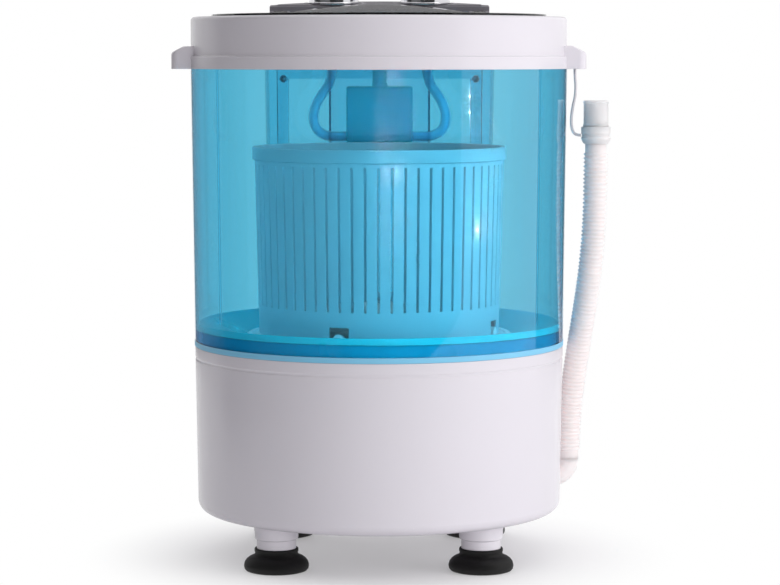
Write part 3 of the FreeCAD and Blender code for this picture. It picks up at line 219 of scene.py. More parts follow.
def finish(slot):
    """The material of a slot, made when it is first asked for."""
    hue = bpy.context.scene.washer_colours
    makers = {
        # Gloss moulded ABS: even white with the faint orange peel of a polished tool
        "white_shell": lambda: moulded(
            "gloss_white_abs", hue.shell, rough=0.24, grain=7, deep=0.012, drift=0.02),
        # Clear polystyrene with a blue tint: deeper where the light runs along a wall
        "clear_tub": lambda: clear("clear_blue_polystyrene", hue.tub, density=340, ior=1.5, ripple=0.04),
        "clear_cover": lambda: clear("clear_blue_sheet", hue.tub, density=340, ior=1.5, ripple=0.02),
        "blue_duct": lambda: clear("clear_duct_polystyrene", hue.duct, density=220, ior=1.5, ripple=0.02),
        # The tub's thick floor and its welded foot: the same plastic, the floor deep blue, the foot frosted and
        # painted pale as a highlight
        "bowl_skin": lambda: moulded(
            "deep_blue_polystyrene", hue.bowl, rough=0.3, grain=4, deep=0.01, drift=0.04),
        "seam_skin": lambda: moulded(
            "frosted_blue_polystyrene", hue.seam, rough=0.45, grain=1.2, deep=0.01, drift=0.04),
        # Satin polypropylene with a soft sheen and a fine eroded grain
        "white_basket": lambda: moulded(
            "satin_blue_polypropylene", hue.basket, rough=0.62, grain=1.5, deep=0.01, drift=0.03, milky=0.3),
        "white_pulsator": lambda: moulded(
            "satin_white_polypropylene", hue.pulsator, rough=0.5, grain=1.5, deep=0.01, drift=0.03),
        # Smoked acrylic: clear grey-brown sheet with a polished face
        "smoked_lid": lambda: clear("smoked_acrylic", hue.lid, density=450, ior=1.49, ripple=0.02),
        # Spark-eroded ABS and printed sheet: matt grey with a fine even grain, and white ink
        "grey_console": lambda: moulded("eroded_grey_abs", hue.console, rough=0.42, grain=0.6, deep=0.02),
        "grey_panel": lambda: moulded("printed_grey_sheet", hue.panel, rough=0.36, grain=0.5, deep=0.008),
        "dial_marks": lambda: moulded("printed_white_ink", hue.mark, rough=0.5, grain=0.4, deep=0.004),
        # Chrome-plated ABS: a bright mirror with the softest waviness, round a satin inset
        "chrome_knob": lambda: moulded(
            "chrome_plated_abs", hue.chrome, rough=0.07, grain=9, deep=0.004, drift=0.02, metal=1.0),
        "knob_cap": lambda: moulded("satin_silver_abs", hue.cap, rough=0.33, grain=0.5, deep=0.006),
        # Moulded rubber: near black, dull, with a dusty fine grain
        "black_rubber": lambda: moulded(
            "moulded_black_rubber", hue.rubber, rough=0.62, grain=0.8, deep=0.03, drift=0.25),
        "belt_rubber": lambda: moulded(
            "woven_belt_rubber", hue.rubber, rough=0.7, grain=0.6, deep=0.05, drift=0.25),
        # Blown polyethylene hose and moulded fittings: soft white with a waxy shine
        "white_hose": lambda: moulded(
            "blown_white_polyethylene", hue.hose, rough=0.42, grain=2, deep=0.02, milky=1.0),
        "white_fitting": lambda: moulded(
            "moulded_white_fitting", hue.hose, rough=0.32, grain=1.5, deep=0.01, drift=0.03, milky=1.0),
        # Drawn nylon line: white with a soft grain
        "white_strap": lambda: moulded(
            "drawn_white_nylon", hue.tie, rough=0.4, grain=0.7, deep=0.02, drift=0.06),
        # Satin moulded ABS: an even blue-green
        "blue_box": lambda: moulded("satin_blue_abs", hue.box, rough=0.65, grain=1.2, deep=0.01),
        # Fibre sleeving over the wires: dull, with a coarse uneven surface
        "grey_loom": lambda: moulded(
            "fibre_loom_sleeving", hue.loom, rough=0.6, grain=1.0, deep=0.08, drift=0.12),
        # Moulded polyester of the switches: plain dull grey
        "grey_plastic": lambda: moulded(
            "moulded_grey_pbt", linear("#8B8B90"), rough=0.5, grain=0.8, deep=0.02),
        # Bright steel: drawn along one way, with fine lines
        "steel": lambda: moulded(
            "drawn_bright_steel", hue.steel, rough=0.28, grain=0.5, deep=0.004, drift=0.08, metal=1.0,
            stretch=(1, 1, 0.05)),
        # Sand-cast alloy: pale grey metal with a coarse dull skin
        "cast_alloy": lambda: moulded(
            "sand_cast_alloy", linear("#B4B4B8"), rough=0.48, grain=0.9, deep=0.05, drift=0.1, metal=1.0),
        # Sprayed enamel over pressed steel: dark satin with a slight peel
        "motor_paint": lambda: moulded(
            "sprayed_dark_enamel", linear("#39393C"), rough=0.38, grain=2.5, deep=0.02),
        # Gloss moulded polyester: off-white and smooth
        "can_plastic": lambda: moulded(
            "gloss_can_polyester", linear("#DCDCD6"), rough=0.3, grain=3, deep=0.01),
    }
    made = bpy.context.scene.get("washer_finishes", {})
    if slot not in made:
        made = dict(made)
        made[slot] = makers[slot]().name
        bpy.context.scene["washer_finishes"] = made
    return bpy.data.materials[made[slot]]


def at(x, y, z):
    """A shift to a spot in mm."""
    return Matrix.Translation((x * MM, y * MM, z * MM))


def only(kind, geom):
    """The vertices or the edges among the elements that an operator gives back."""
    return [g for g in geom if isinstance(g, kind)]


def outward(bm):
    """Make all faces of a closed shape look out."""
    bmesh.ops.recalc_face_normals(bm, faces=bm.faces)
    return bm


def facing(bm, axis):
    """Turn a sheet over if its face that is farthest along an axis looks back."""
    far = max(bm.faces, key=lambda f: f.calc_center_median()[axis])
    if far.normal[axis] < 0:
        bmesh.ops.reverse_faces(bm, faces=bm.faces)
    return bm


def pushed(bm, faces, push):
    """Extrude faces as one region along a vector in mm; gives the new vertices."""
    new = only(BMVert, bmesh.ops.extrude_face_region(bm, geom=faces)["geom"])
    bmesh.ops.translate(bm, verts=new, vec=Vector(push) * MM)
    return new


def grown(bm, edges):
    """Extrude edges where they lie; gives the new vertices and edges."""
    new = bmesh.ops.extrude_edge_only(bm, edges=edges)["geom"]
    return only(BMVert, new), only(BMEdge, new)


def drawn(profile, turn):
    """A line of radius and height points in mm, turned about the upright axis; gives mesh and line."""
    bm = bmesh.new()
    line = [bm.verts.new(Vector((r, 0, z)) * MM) for r, z in profile]
    edges = [bm.edges.new(pair) for pair in zip(line, line[1:])]
    bmesh.ops.rotate(bm, verts=line, cent=(0, 0, 0), matrix=Matrix.Rotation(turn, 3, "Z"))
    return bm, line + edges


def turned(profile, steps, sweep=360.0, start=0.0):
    """Spin a line of radius and height points in mm round the upright axis, by degrees from a start."""
    bm, line = drawn(profile, math.radians(start))
    bmesh.ops.spin(bm, geom=line, angle=math.radians(sweep), steps=steps, use_merge=sweep == 360.0, **UPRIGHT)
    bmesh.ops.remove_doubles(bm, verts=bm.verts, dist=1e-7)
    return outward(bm)


def off_turn(p, pitch, start=0.0):
    """How far a point is turned from the nearest of the evenly spaced turns about the upright axis."""
    turn = math.atan2(p.y, p.x) - start
    return abs((turn + pitch / 2) % pitch - pitch / 2)


def block(low, high):
    """A box between two corners in mm."""
    bm = bmesh.new()
    low, high = Vector(low) * MM, Vector(high) * MM
    size = Matrix.Diagonal((*(high - low), 1))
    bmesh.ops.create_cube(bm, size=1, matrix=Matrix.Translation((low + high) / 2) @ size)
    return bm


def disc(radius, sides, place):
    """A filled circle with its radius in mm, placed by a matrix."""
    bm = bmesh.new()
    bmesh.ops.create_circle(bm, cap_ends=True, segments=sides, radius=radius * MM, matrix=place)
    return bm


def prism(outline, push):
    """A flat outline of mm points pushed along a vector in mm."""
    bm = bmesh.new()
    face = bm.faces.new([bm.verts.new(Vector(p) * MM) for p in outline])
    pushed(bm, [face], push)
    return outward(bm)


def joined(first, *others):
    """Put further shapes into the first one."""
    for other in others:
        mesh = bpy.data.meshes.new("joining")
        other.to_mesh(mesh)
        other.free()
        first.from_mesh(mesh)
        bpy.data.meshes.remove(mesh)
    return first


def moved(bm, matrix):
    """Move a whole shape."""
    bmesh.ops.transform(bm, matrix=matrix, verts=bm.verts)
    return bm


def around(bm, count):
    """Repeat a shape evenly round the upright axis."""
    bmesh.ops.spin(bm, geom=bm.verts[:] + bm.edges[:] + bm.faces[:], angle=math.tau * (count - 1) / count,
                   steps=count - 1, use_duplicate=True, **UPRIGHT)
    return bm


def rounded(bm, width, segments, chosen):
    """Round the edges whose middle point in mm passes a test."""
    edges = [e for e in bm.edges if chosen((e.verts[0].co + e.verts[1].co) / 2 / MM)]
    bmesh.ops.bevel(bm, geom=edges, offset=width * MM, offset_type="OFFSET", segments=segments, profile=0.5,
                    affect="EDGES", clamp_overlap=True, material=-1)
    return bm


def drop(bm, chosen):
    """Take out the faces whose centre in mm passes a test."""
    bmesh.ops.delete(bm, geom=[f for f in bm.faces if chosen(f.calc_center_median() / MM)], context="FACES")
    return bm


def cut(bm, spot, normal, clear_outer=False, faces=None):
    """Cut along a plane through a spot in mm, and drop what lies beyond it if asked."""
    geom = bm.verts[:] + bm.edges[:] + bm.faces[:]
    if faces is not None:
        geom = list({g for f in faces for g in (f, *f.edges, *f.verts)})
    bmesh.ops.bisect_plane(bm, geom=geom, dist=1e-7, plane_co=Vector(spot) * MM, plane_no=normal,
                           clear_outer=clear_outer)
    return bm


def baked(obj):
    """Turn an object's modifiers into its mesh."""
    plain = obj.data
    name = plain.name
    seen = obj.evaluated_get(bpy.context.evaluated_depsgraph_get())
    obj.data = bpy.data.meshes.new_from_object(seen)
    obj.modifiers.clear()
    bpy.data.meshes.remove(plain)
    obj.data.name = name


def piece(bm, name, body, slot, nodes=(), wall=0.0, edge=0.0, fold=38):
    """Finish a shape as a piece on a body, for its CAD nodes.

    It gets a wall inwards and rounded edges, in mm, where faces meet at more than fold degrees.
    """
    mesh = bpy.data.meshes.new(name)
    bm.to_mesh(mesh)
    bm.free()
    obj = bpy.data.objects.new(name, mesh)
    bpy.context.scene.collection.objects.link(obj)
    if wall:
        skin = obj.modifiers.new("wall", "SOLIDIFY")
        skin.thickness = wall * MM
        skin.offset = -1
        skin.use_even_offset = True
    if edge:
        soft = obj.modifiers.new("edge", "BEVEL")
        soft.width = edge * MM
        soft.segments = 2
        soft.angle_limit = math.radians(fold)
    baked(obj)
    obj.data.shade_smooth()
    obj.data.set_sharp_from_angle(angle=math.radians(fold))
    # Wide faces keep their own direction beside small rounded edges, so clear sheets stay flat to light
    obj.modifiers.new("level", "WEIGHTED_NORMAL").keep_sharp = True
    baked(obj)
    obj.data.materials.clear()
    obj.data.materials.append(finish(slot))
    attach(obj, body)
    if nodes:
        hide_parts(*nodes)
    return obj


def route(points, name):
    """A smooth open curve with the points, in mm, as its control points."""
    curve = bpy.data.curves.new(name, "CURVE")
    curve.dimensions = "3D"
    curve.resolution_u = CURVE_STEPS
    spline = curve.splines.new("NURBS")
    spline.points.add(len(points) - 1)
    for knot, spot in zip(spline.points, points):
        knot.co = (*(Vector(spot) * MM), 1)
    spline.order_u = 3
    spline.use_endpoint_u = True
    spline.resolution_u = CURVE_STEPS
    obj = bpy.data.objects.new(name, curve)
    bpy.context.scene.collection.objects.link(obj)
    return obj


def read_line(obj):
    """The points of a curve that has no bevel."""
    mesh = bpy.data.meshes.new_from_object(obj.evaluated_get(bpy.context.evaluated_depsgraph_get()))
    points = [v.co.copy() for v in mesh.vertices]
    bpy.data.meshes.remove(mesh)
    return points


def length_of(points):
    """The length of a line of points."""
    return sum((b - a).length for a, b in zip(points, points[1:]))


def strand(points, name, wide, sides, slot, node):
    """A round line along a smooth curve, for its CAD node; gives the piece and the points it follows."""
    obj = route(points, name)
    line = read_line(obj)
    obj.data.bevel_depth = wide / 2
    obj.data.bevel_resolution = sides
    obj.data.use_fill_caps = True
    obj.data.materials.append(finish(slot))
    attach(obj, "machine_body")
    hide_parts(node)
    return obj, line


def along(points, far):
    """The place and direction at a distance along a line of points."""
    for a, b in zip(points, points[1:]):
        long = (b - a).length
        if far <= long:
            return a.lerp(b, far / long), (b - a).normalized()
        far -= long
    return points[-1].copy(), (points[-1] - points[-2]).normalized()


def swept(points, rounds, sides):
    """A tube along a line; each round is a distance and a radius."""
    bm = bmesh.new()
    was = Matrix.Identity(4)
    bmesh.ops.create_circle(bm, cap_ends=False, segments=sides, radius=1)
    verts, ring = bm.verts[:], bm.edges[:]
    for number, (far, radius) in enumerate(rounds):
        spot, way = along(points, far)
        turn = Vector((0, 0, 1)).rotation_difference(way).to_matrix().to_4x4()
        now = Matrix.Translation(spot) @ turn @ Matrix.Diagonal((radius, radius, radius, 1))
        if number:
            verts, ring = grown(bm, ring)
        bmesh.ops.transform(bm, matrix=now @ was.inverted(), verts=verts)
        was = now
    return outward(bm)


class WASHER_OT_stage(bpy.types.Operator):
    """Make the floor, the soft studio light and the camera"""

    bl_idname = "washer.stage"
    bl_label = "Stage"

    # Lamps in metres and watts, aimed at the middle of the machine; only the named one shows in its gloss
    AIM = (0, 0, 0.26)
    SHOWN_LAMP = "top_panel"
    LAMPS = (
        ("key_window", (2.3, -1.05, 0.95), (1.3, 1.9), 31),
        ("front_window", (0.5, -2.7, 0.4), (1.2, 0.8), 16),
        ("top_panel", (0.5, 0.1, 2.1), (1.4, 1.4), 7),
        ("rear_window", (-2.0, 1.7, 1.0), (1.4, 1.2), 18),
        ("back_window", (0.9, 2.4, 1.2), (1.4, 1.2), 16),
    )
    # Upright grey cards in metres that show in the machine's gloss, and whether they also shade it
    CARDS = (
        ("shade_card", (-0.8, -0.35, 0.6), (1.7, 1.3), 0.17, True),
        ("dark_card", (-0.78, 0.0, 0.6), (0.3, 1.3), 0.03, True),
        ("front_card", (0.0, -1.4, 0.9), (3.2, 2.4), 0.04, False),
        ("back_card", (0.0, 1.6, 0.95), (0.8, 0.8), 0.3, False),
        ("rim_card_left", (-1.1, 1.1, 0.2), (1.5, 0.44), 0.25, False),
        ("rim_card_right", (1.1, 1.1, 0.2), (1.5, 0.44), 0.15, False),
    )
    # The floor in metres: it fades to white between two distances from the machine's axis
    FLOOR_WIDE = 8
    FADE_NEAR, FADE_FAR, FADE_LEAST = 0.1, 0.27, 0.3
    # How far the photograph's horizon lies above its middle, and its focal length, both in its pixels
    HORIZON_PIXELS, FOCAL_PIXELS = 237.5, 2720
    LENS, SENSOR = 125.5, 36
    CAMERA_SPOT = (0.0097, -2.4, 0.442)

    def execute(self, context):
        scene = context.scene
        scene.view_settings.view_transform = "Standard"
        self.make_world(scene)
        self.make_floor(scene)
        for lamp in self.LAMPS:
            self.make_lamp(scene, *lamp)
        for card in self.CARDS:
            self.make_card(scene, *card)
        self.make_camera(scene)
        return {"FINISHED"}

    def seen_rays(self, tree):
        """One for rays of the camera, mirrors and glass, which show the white studio."""
        path = add(tree, "ShaderNodeLightPath").outputs
        pair = add(tree, "ShaderNodeMath", {
            0: path["Is Camera Ray"], 1: path["Is Glossy Ray"]}, operation="MAXIMUM").outputs[0]
        return add(tree, "ShaderNodeMath", {
            0: pair, 1: path["Is Transmission Ray"]}, operation="MAXIMUM").outputs[0]

    def make_world(self, scene):
        """A white studio to look at, and a softer one to light by."""
        world = bpy.data.worlds.new("soft_studio")
        world.use_nodes = True
        tree = world.node_tree
        tree.nodes.clear()
        shown = add(tree, "ShaderNodeBackground", {"Color": (1, 1, 1, 1), "Strength": 1.0}).outputs[0]
        light = add(tree, "ShaderNodeBackground", {"Color": linear("#F6F5FA"), "Strength": 0.4}).outputs[0]
        mixed = add(tree, "ShaderNodeMixShader", {0: self.seen_rays(tree), 1: light, 2: shown}).outputs[0]
        add(tree, "ShaderNodeOutputWorld", {"Surface": mixed})
        scene.world = world

    def sheet(self, scene, name, wide, tall):
        """A flat sheet of one face."""
        bm = bmesh.new()
        stretch = Matrix.Diagonal((wide, tall, 1, 1))
        bmesh.ops.create_grid(bm, x_segments=1, y_segments=1, size=0.5, matrix=stretch)
        mesh = bpy.data.meshes.new(name)
        bm.to_mesh(mesh)
        bm.free()
        obj = bpy.data.objects.new(name, mesh)
        scene.collection.objects.link(obj)
        return obj

    def make_floor(self, scene):
        """A matt floor that keeps the shade near the feet and turns white farther out."""
        floor = self.sheet(scene, "studio_floor", self.FLOOR_WIDE, self.FLOOR_WIDE)
        mat, tree, skin, place = blank("matt_studio_floor")
        skin["Base Color"].default_value = scene.washer_colours.floor
        skin["Roughness"].default_value = 0.6
        far = add(tree, "ShaderNodeVectorMath", {0: place}, operation="LENGTH").outputs["Value"]
        fade = add(tree, "ShaderNodeMapRange", {
            "Value": far, "From Min": self.FADE_NEAR, "From Max": self.FADE_FAR, "To Min": self.FADE_LEAST,
        }, interpolation_type="SMOOTHSTEP").outputs[0]
        share = add(tree, "ShaderNodeMath", {
            0: fade, 1: self.seen_rays(tree)}, operation="MULTIPLY").outputs[0]
        glow = add(tree, "ShaderNodeEmission", {"Color": (1, 1, 1, 1), "Strength": 1.0}).outputs[0]
        near = tree.nodes["Principled BSDF"].outputs[0]
        mixed = add(tree, "ShaderNodeMixShader", {0: share, 1: near, 2: glow}).outputs[0]
        tree.links.new(mixed, tree.nodes["Material Output"].inputs["Surface"])
        floor.data.materials.append(mat)

    def make_lamp(self, scene, name, spot, size, power):
        """A soft window of light."""
        lamp = bpy.data.lights.new(name, "AREA")
        lamp.shape = "RECTANGLE"
        lamp.size, lamp.size_y = size
        lamp.energy = power
        lamp.cycles.use_multiple_importance_sampling = name == self.SHOWN_LAMP
        obj = bpy.data.objects.new(name, lamp)
        obj.location = spot
        obj.rotation_euler = (Vector(self.AIM) - obj.location).to_track_quat("-Z", "Y").to_euler()
        obj.visible_glossy = name == self.SHOWN_LAMP
        scene.collection.objects.link(obj)

    def make_card(self, scene, name, spot, size, grey, shades):
        """An upright card facing the machine, which the camera doesn't see."""
        card = self.sheet(scene, name, *size)
        card.location = spot
        card.rotation_euler = (Vector((0, 0, spot[2])) - card.location).to_track_quat("Z", "Y").to_euler()
        card.visible_camera = card.visible_transmission = False
        card.visible_diffuse = card.visible_shadow = shades
        mat, _, skin, _ = blank(f"{name}_paper")
        skin["Base Color"].default_value = (grey, grey, grey, 1)
        skin["Roughness"].default_value = 0.9
        card.data.materials.append(mat)

    def make_camera(self, scene):
        """The photograph's own view."""
        camera = bpy.data.cameras.new("photo_camera")
        camera.lens, camera.sensor_width = self.LENS, self.SENSOR
        obj = bpy.data.objects.new("photo_camera", camera)
        obj.location = self.CAMERA_SPOT
        obj.rotation_euler = (math.pi / 2 - math.atan(self.HORIZON_PIXELS / self.FOCAL_PIXELS), 0, 0)
        scene.collection.objects.link(obj)
        scene.camera = obj


class WASHER_OT_hose(bpy.types.Operator):
    """Make the ribbed drain hose, its collar, cuff and tie, and the outlet bend"""

    bl_idname = "washer.hose"
    bl_label = "Drain hose"

    # Control points from the outlet up to the collar, and from the grip down to the collar
    ROUTE = (
        (171, 40, 79), (171, 40, 113.24), (175.51, 32.3, 156.544), (181.25, 22.5, 199.848),
        (186.99, 12.7, 243.152), (190.475, 6.75, 286.456), (191.5, 5, 329.76), (191.5, 5, 364),
    )
    TIE = (
        (172.5, 5, 441), (172.5, 5, 428), (174.1, 5, 409.5), (170.3, 5, 393.5),
        (169.5, 5, 381.5), (171.3, 5, 373.9), (174.9, 5, 371.5), (178.5, 5, 371.5),
    )
    # One rib: shares of the pitch, and of the rise from root to crest
    RIB = ((0, 0), (0.12, 0.3), (0.24, 0.85), (0.4, 1), (0.56, 0.85), (0.68, 0.3), (0.82, 0))
    RIB_DEEP = 1.4
    # Fittings: radii, and heights over the node's foot
    COLLAR = (
        (7.5, 0), (10.7, 0), (12.6, 3.2), (13, 4.2), (13, 5.6), (12.3, 6), (12.3, 8.6), (13, 9), (13, 15),
        (7.5, 15), (7.5, 0),
    )
    CUFF = (
        (7.5, 0), (11.3, 0), (11.3, 1.6), (10.9, 2), (10.9, 20.4), (11.3, 20.8), (11.3, 22.2), (10.6, 23),
        (9.1, 23), (8.6, 22), (7.5, 12), (7.5, 0),
    )
    # The outlet: its pipe, its bend, and how far its shoulder stands over the bend
    PIPE_RADIUS, PIPE_LONG, BEND_RADIUS, SHOULDER = 9, 9, 14, 2
    # Steps up from the bend into the hose, and how the ring of edges narrows at each
    SPIGOT = ((SHOULDER, 1), (0, 0.84), (18, 1), (1, 0.94), (0, 0.74))

    def execute(self, context):
        sizes = context.scene.washer_sizes
        collar = self.fitting(self.COLLAR, "hose_ring", "hose_collar", edge=0.4)
        cuff = self.fitting(self.CUFF, "hose_end_cuff", "hose_cuff", edge=0.3)
        guide = route(self.ROUTE, "hose_guide")
        line = read_line(guide)
        bpy.data.objects.remove(guide)
        long = length_of(line)
        hose = piece(swept(line, self.rounds(sizes, long), 40), "ribbed_hose", "machine_body", "white_hose",
                     ["drain_hose"], fold=80)
        tie, tie_line = strand(self.TIE, "hose_tie", sizes.tie_wide, 5, "white_strap", "hose_strap")
        self.bend()
        return {"FINISHED"}

    def fitting(self, profile, name, node, edge):
        """A turned fitting round the hose's upper end."""
        x, y, _ = self.ROUTE[-1]
        bm = moved(turned(profile, 64), at(x, y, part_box(node)[0].z / MM))
        return piece(bm, name, "machine_body", "white_fitting", [node], edge=edge)

    def rounds(self, sizes, long):
        """Distances along the hose and radii there: ribs between two plain ends."""
        crest, plain = sizes.hose_wide / 2, 2 * sizes.rib_pitch
        root = crest - self.RIB_DEEP * MM
        ribs = round((long - 2 * plain) / sizes.rib_pitch)
        step = (long - 2 * plain) / ribs
        waves = [(plain + (rib + share) * step, root + (crest - root) * rise)
                 for rib in range(ribs) for share, rise in self.RIB]
        return [(0, root), *waves, (long, root)]

    def bend(self):
        """A circle pushed out of the base, spun round the bend and pushed up into the hose."""
        x, y, z = self.ROUTE[0]
        middle = (x - self.BEND_RADIUS, y, z - self.SHOULDER)
        start = at(middle[0] - self.PIPE_LONG, y, middle[2] - self.BEND_RADIUS)
        bm = bmesh.new()
        bmesh.ops.create_circle(bm, cap_ends=False, segments=40, radius=self.PIPE_RADIUS * MM,
                                matrix=start @ ACROSS)
        ring = self.ringed(bm, bm.edges[:], (self.PIPE_LONG, 0, 0))
        verts = list({v for e in ring for v in e.verts})
        last = bmesh.ops.spin(bm, geom=verts + ring, cent=Vector(middle) * MM, axis=(0, -1, 0),
                              dvec=(0, 0, 0), angle=math.pi / 2, steps=14)["geom_last"]
        ring = only(BMEdge, last)
        for up, scale in self.SPIGOT:
            ring = self.ringed(bm, ring, (0, 0, up), scale)
        piece(outward(bm), "outlet_bend", "machine_body", "white_fitting", ["drain_elbow"])

    def ringed(self, bm, ring, push, scale=1.0):
        """Extrude a ring of edges, shift the new one in mm and scale it about its middle."""
        verts, edges = grown(bm, ring)
        bmesh.ops.translate(bm, verts=verts, vec=Vector(push) * MM)
        middle = sum((v.co for v in verts), Vector()) / len(verts)
        bmesh.ops.scale(bm, verts=verts, vec=(scale,) * 3, space=Matrix.Translation(-middle))
        return edges


class WASHER_OT_base(bpy.types.Operator):
    """Make the base housing with its vents and posts, and the four rubber feet"""

    bl_idname = "washer.base"
    bl_label = "Base and feet"

    VENTS, VENT_NEAR, VENT_FAR = 16, 82, 108
    # How far the lower edge is rounded, and the radius beyond which that edge lies
    EDGE_ROUND, EDGE_FROM = 9, 158
    # From the middle of the underside out and up, past a fine groove under the upper edge
    SKIN = (
        (0, BASE_LOW), (VENT_NEAR, BASE_LOW), (VENT_FAR, BASE_LOW), (160.5, BASE_LOW), (162.5, 174.9),
        (161.9, 175.6), (161.9, 177), (162.54, 177.6), (162.7, BASE_HIGH),
    )
    POST = (
        (0, 9.4), (17, 9.4), (17, 27), (17.6, 28), (18.8, 28.4), (19, 36), (19.8, 39.4), (21, BASE_LOW - 0.1),
        (0, BASE_LOW - 0.1),
    )
    # Two round grooves under the foot, its dome, a waisted neck, and the socket for the post
    FOOT = (
        (0, 0), (6, 0), (7, 1), (9, 1), (10, 0), (15, 0), (16, 1), (18, 1), (19, 0), (24, 0), (26.2, 0.7),
        (27.5, 2.2), (28, 4.4), (27.9, 5.8), (27.2, 8.2), (25.6, 10.4), (23.2, 12.2), (20.6, 13.3),
        (19.4, 13.9), (18.5, 15.2), (18.4, 16.4), (18.9, 17.2), (18.9, 19.2), (18.3, 20), (17.2, 20),
        (17.2, 9.2), (0, 9.2),
    )

    def execute(self, context):
        sizes = context.scene.washer_sizes
        skin = turned(self.SKIN, sizes.steps)
        rounded(skin, self.EDGE_ROUND, 8, lambda p: p.z < BASE_LOW + 0.1 and p.xy.length > self.EDGE_FROM)
        half = math.tau / sizes.steps * 0.6
        drop(skin, lambda p: self.VENT_NEAR < p.xy.length < self.VENT_FAR and p.z < BASE_LOW + 1
             and off_turn(p, math.tau / self.VENTS) < half)
        piece(skin, "base_housing", "machine_body", "white_shell", ["base_shell"], wall=3, edge=0.35)
        spots = {name: self.middle(name) for name in ("front_left", "front_right", "rear_left", "rear_right")}
        posts = joined(*(moved(turned(self.POST, 56), spot) for spot in spots.values()))
        piece(posts, "base_posts", "machine_body", "white_shell", ["foot_posts"], edge=0.4)
        for name, spot in spots.items():
            foot = moved(turned(self.FOOT, 64), spot)
            piece(foot, f"rubber_foot_{name}", "machine_body", "black_rubber", [f"foot_{name}"], fold=32)
        return {"FINISHED"}

    def middle(self, name):
        """A shift to the middle of a foot."""
        low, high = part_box(f"foot_{name}")
        return Matrix.Translation(((low.x + high.x) / 2, (low.y + high.y) / 2, 0))


class WASHER_OT_tub(bpy.types.Operator):
    """Make the clear tub with its bowl floor, flat rear wall and service window, and the cover over it"""

    bl_idname = "washer.tub"
    bl_label = "Clear tub"

    WINDOW_LOW, WINDOW_HIGH, WINDOW_HALF = 216, 420, 87
    # Up the outside, down the inside, and round the ledge in the foot that carries the bowl
    SKIN = (
        (162.7, BASE_HIGH), (163.01, WINDOW_LOW), (165.23, WINDOW_HIGH), (165.4, TUB_TOP), (162.4, TUB_TOP),
        (162.23, WINDOW_HIGH), (160.01, WINDOW_LOW), (159.87, 202), (156.7, 202), (156.7, 181), (159.5, 181),
        (159.5, BASE_HIGH), (162.7, BASE_HIGH),
    )
    # From the seal's bore over the flat floor and up the slope to the lip, and back underneath
    BORE, BOWL_LOW, BOWL_FACE = 22.1, 187, 190
    BOWL_FLAT, BOWL_SLOPE = 124, 0.5
    BOWL = (
        (BORE, BOWL_FACE), (119, BOWL_FACE), (BOWL_FLAT, 190.9), (128, 192.6), (153, 205.1), (156.6, 207.2),
        (158.4, 208), (159.5, 208), (159.5, 202.2), (156.5, 202.2), (156.5, 183), (155.3, 183),
        (155.3, 201.2), (BOWL_FLAT, BOWL_LOW), (BORE, BOWL_LOW), (BORE, BOWL_FACE),
    )
    SEAM = ((162.73, 187.1), (163.1, 187.4), (163.1, 191.6), (162.8, 191.9), (162.73, 187.1))
    # Two upright ribs just inside the round wall
    RIB = ((158.5, -1, 212), (159.8, -1, 212), (162.1, -1, 430), (160.8, -1, 430))
    RIB_WIDE = 2
    RIB_TURNS = (-33, 213)
    # The flat rear wall: its foot and top, its half width at the foot and what that gains on the way up
    FLAT_FRONT, FLAT_FOOT, FLAT_TOP, FLAT_THICK = 122, 190.6, TUB_TOP - 0.1, 3
    FLAT_HALF, FLAT_GAIN, FLAT_REAR_SHARE = 103.2, 3.8, 0.9655
    COVER = ((164.4, 206.2), (166.78, 428.8))
    COVER_HALF, COVER_RADIUS = 96, 165

    def execute(self, context):
        steps = context.scene.washer_sizes.steps
        skin = turned(self.SKIN, steps)
        drop(skin, lambda p: self.WINDOW_LOW < p.z < self.WINDOW_HIGH and p.y > 0
             and abs(p.x) < self.WINDOW_HALF)
        bmesh.ops.bridge_loops(skin, edges=[e for e in skin.edges if e.is_boundary])
        outward(skin)
        joined(skin, *(self.rib(turn) for turn in self.RIB_TURNS))
        piece(skin, "clear_tub_wall", "machine_body", "clear_tub", ["tub"], fold=30)
        piece(self.flat_wall(), "flat_rear_wall", "machine_body", "clear_tub", ["tub_partition"], fold=30)
        piece(turned(self.BOWL, steps), "bowl_floor", "machine_body", "bowl_skin", ["tub_floor"], fold=30)
        # A rough band round the tub's foot, painted pale as the highlight its bead catches
        piece(turned(self.SEAM, steps), "seam_band", "machine_body", "seam_skin")
        sweep = 2 * math.degrees(math.asin(self.COVER_HALF / self.COVER_RADIUS))
        cover = facing(turned(self.COVER, 48, sweep, 90 - sweep / 2), 1)
        piece(cover, "back_cover", "machine_body", "clear_cover", ["rear_cover"], wall=1.45, edge=0.3)
        return {"FINISHED"}

    def rib(self, turn):
        """One rib, turned to its place."""
        bm = prism(self.RIB, (0, self.RIB_WIDE, 0))
        return moved(bm, Matrix.Rotation(math.radians(turn), 4, "Z"))

    def flat_wall(self):
        """A grid that follows the bowl at its foot and the round wall at its ends, made thick to the rear."""
        bm = bmesh.new()
        bmesh.ops.create_grid(bm, x_segments=24, y_segments=8, size=1)
        for v in bm.verts:
            rise = (v.co.y + 1) / 2
            x = v.co.x * (self.FLAT_HALF + self.FLAT_GAIN * rise)
            past = max(0.0, math.hypot(x, self.FLAT_FRONT) - self.BOWL_FLAT)
            low = self.FLAT_FOOT + past * self.BOWL_SLOPE
            v.co = Vector((x, self.FLAT_FRONT, low + (self.FLAT_TOP - low) * rise)) * MM
        for v in pushed(bm, bm.faces[:], (0, self.FLAT_THICK, 0)):
            v.co.x *= self.FLAT_REAR_SHARE
        return outward(bm)


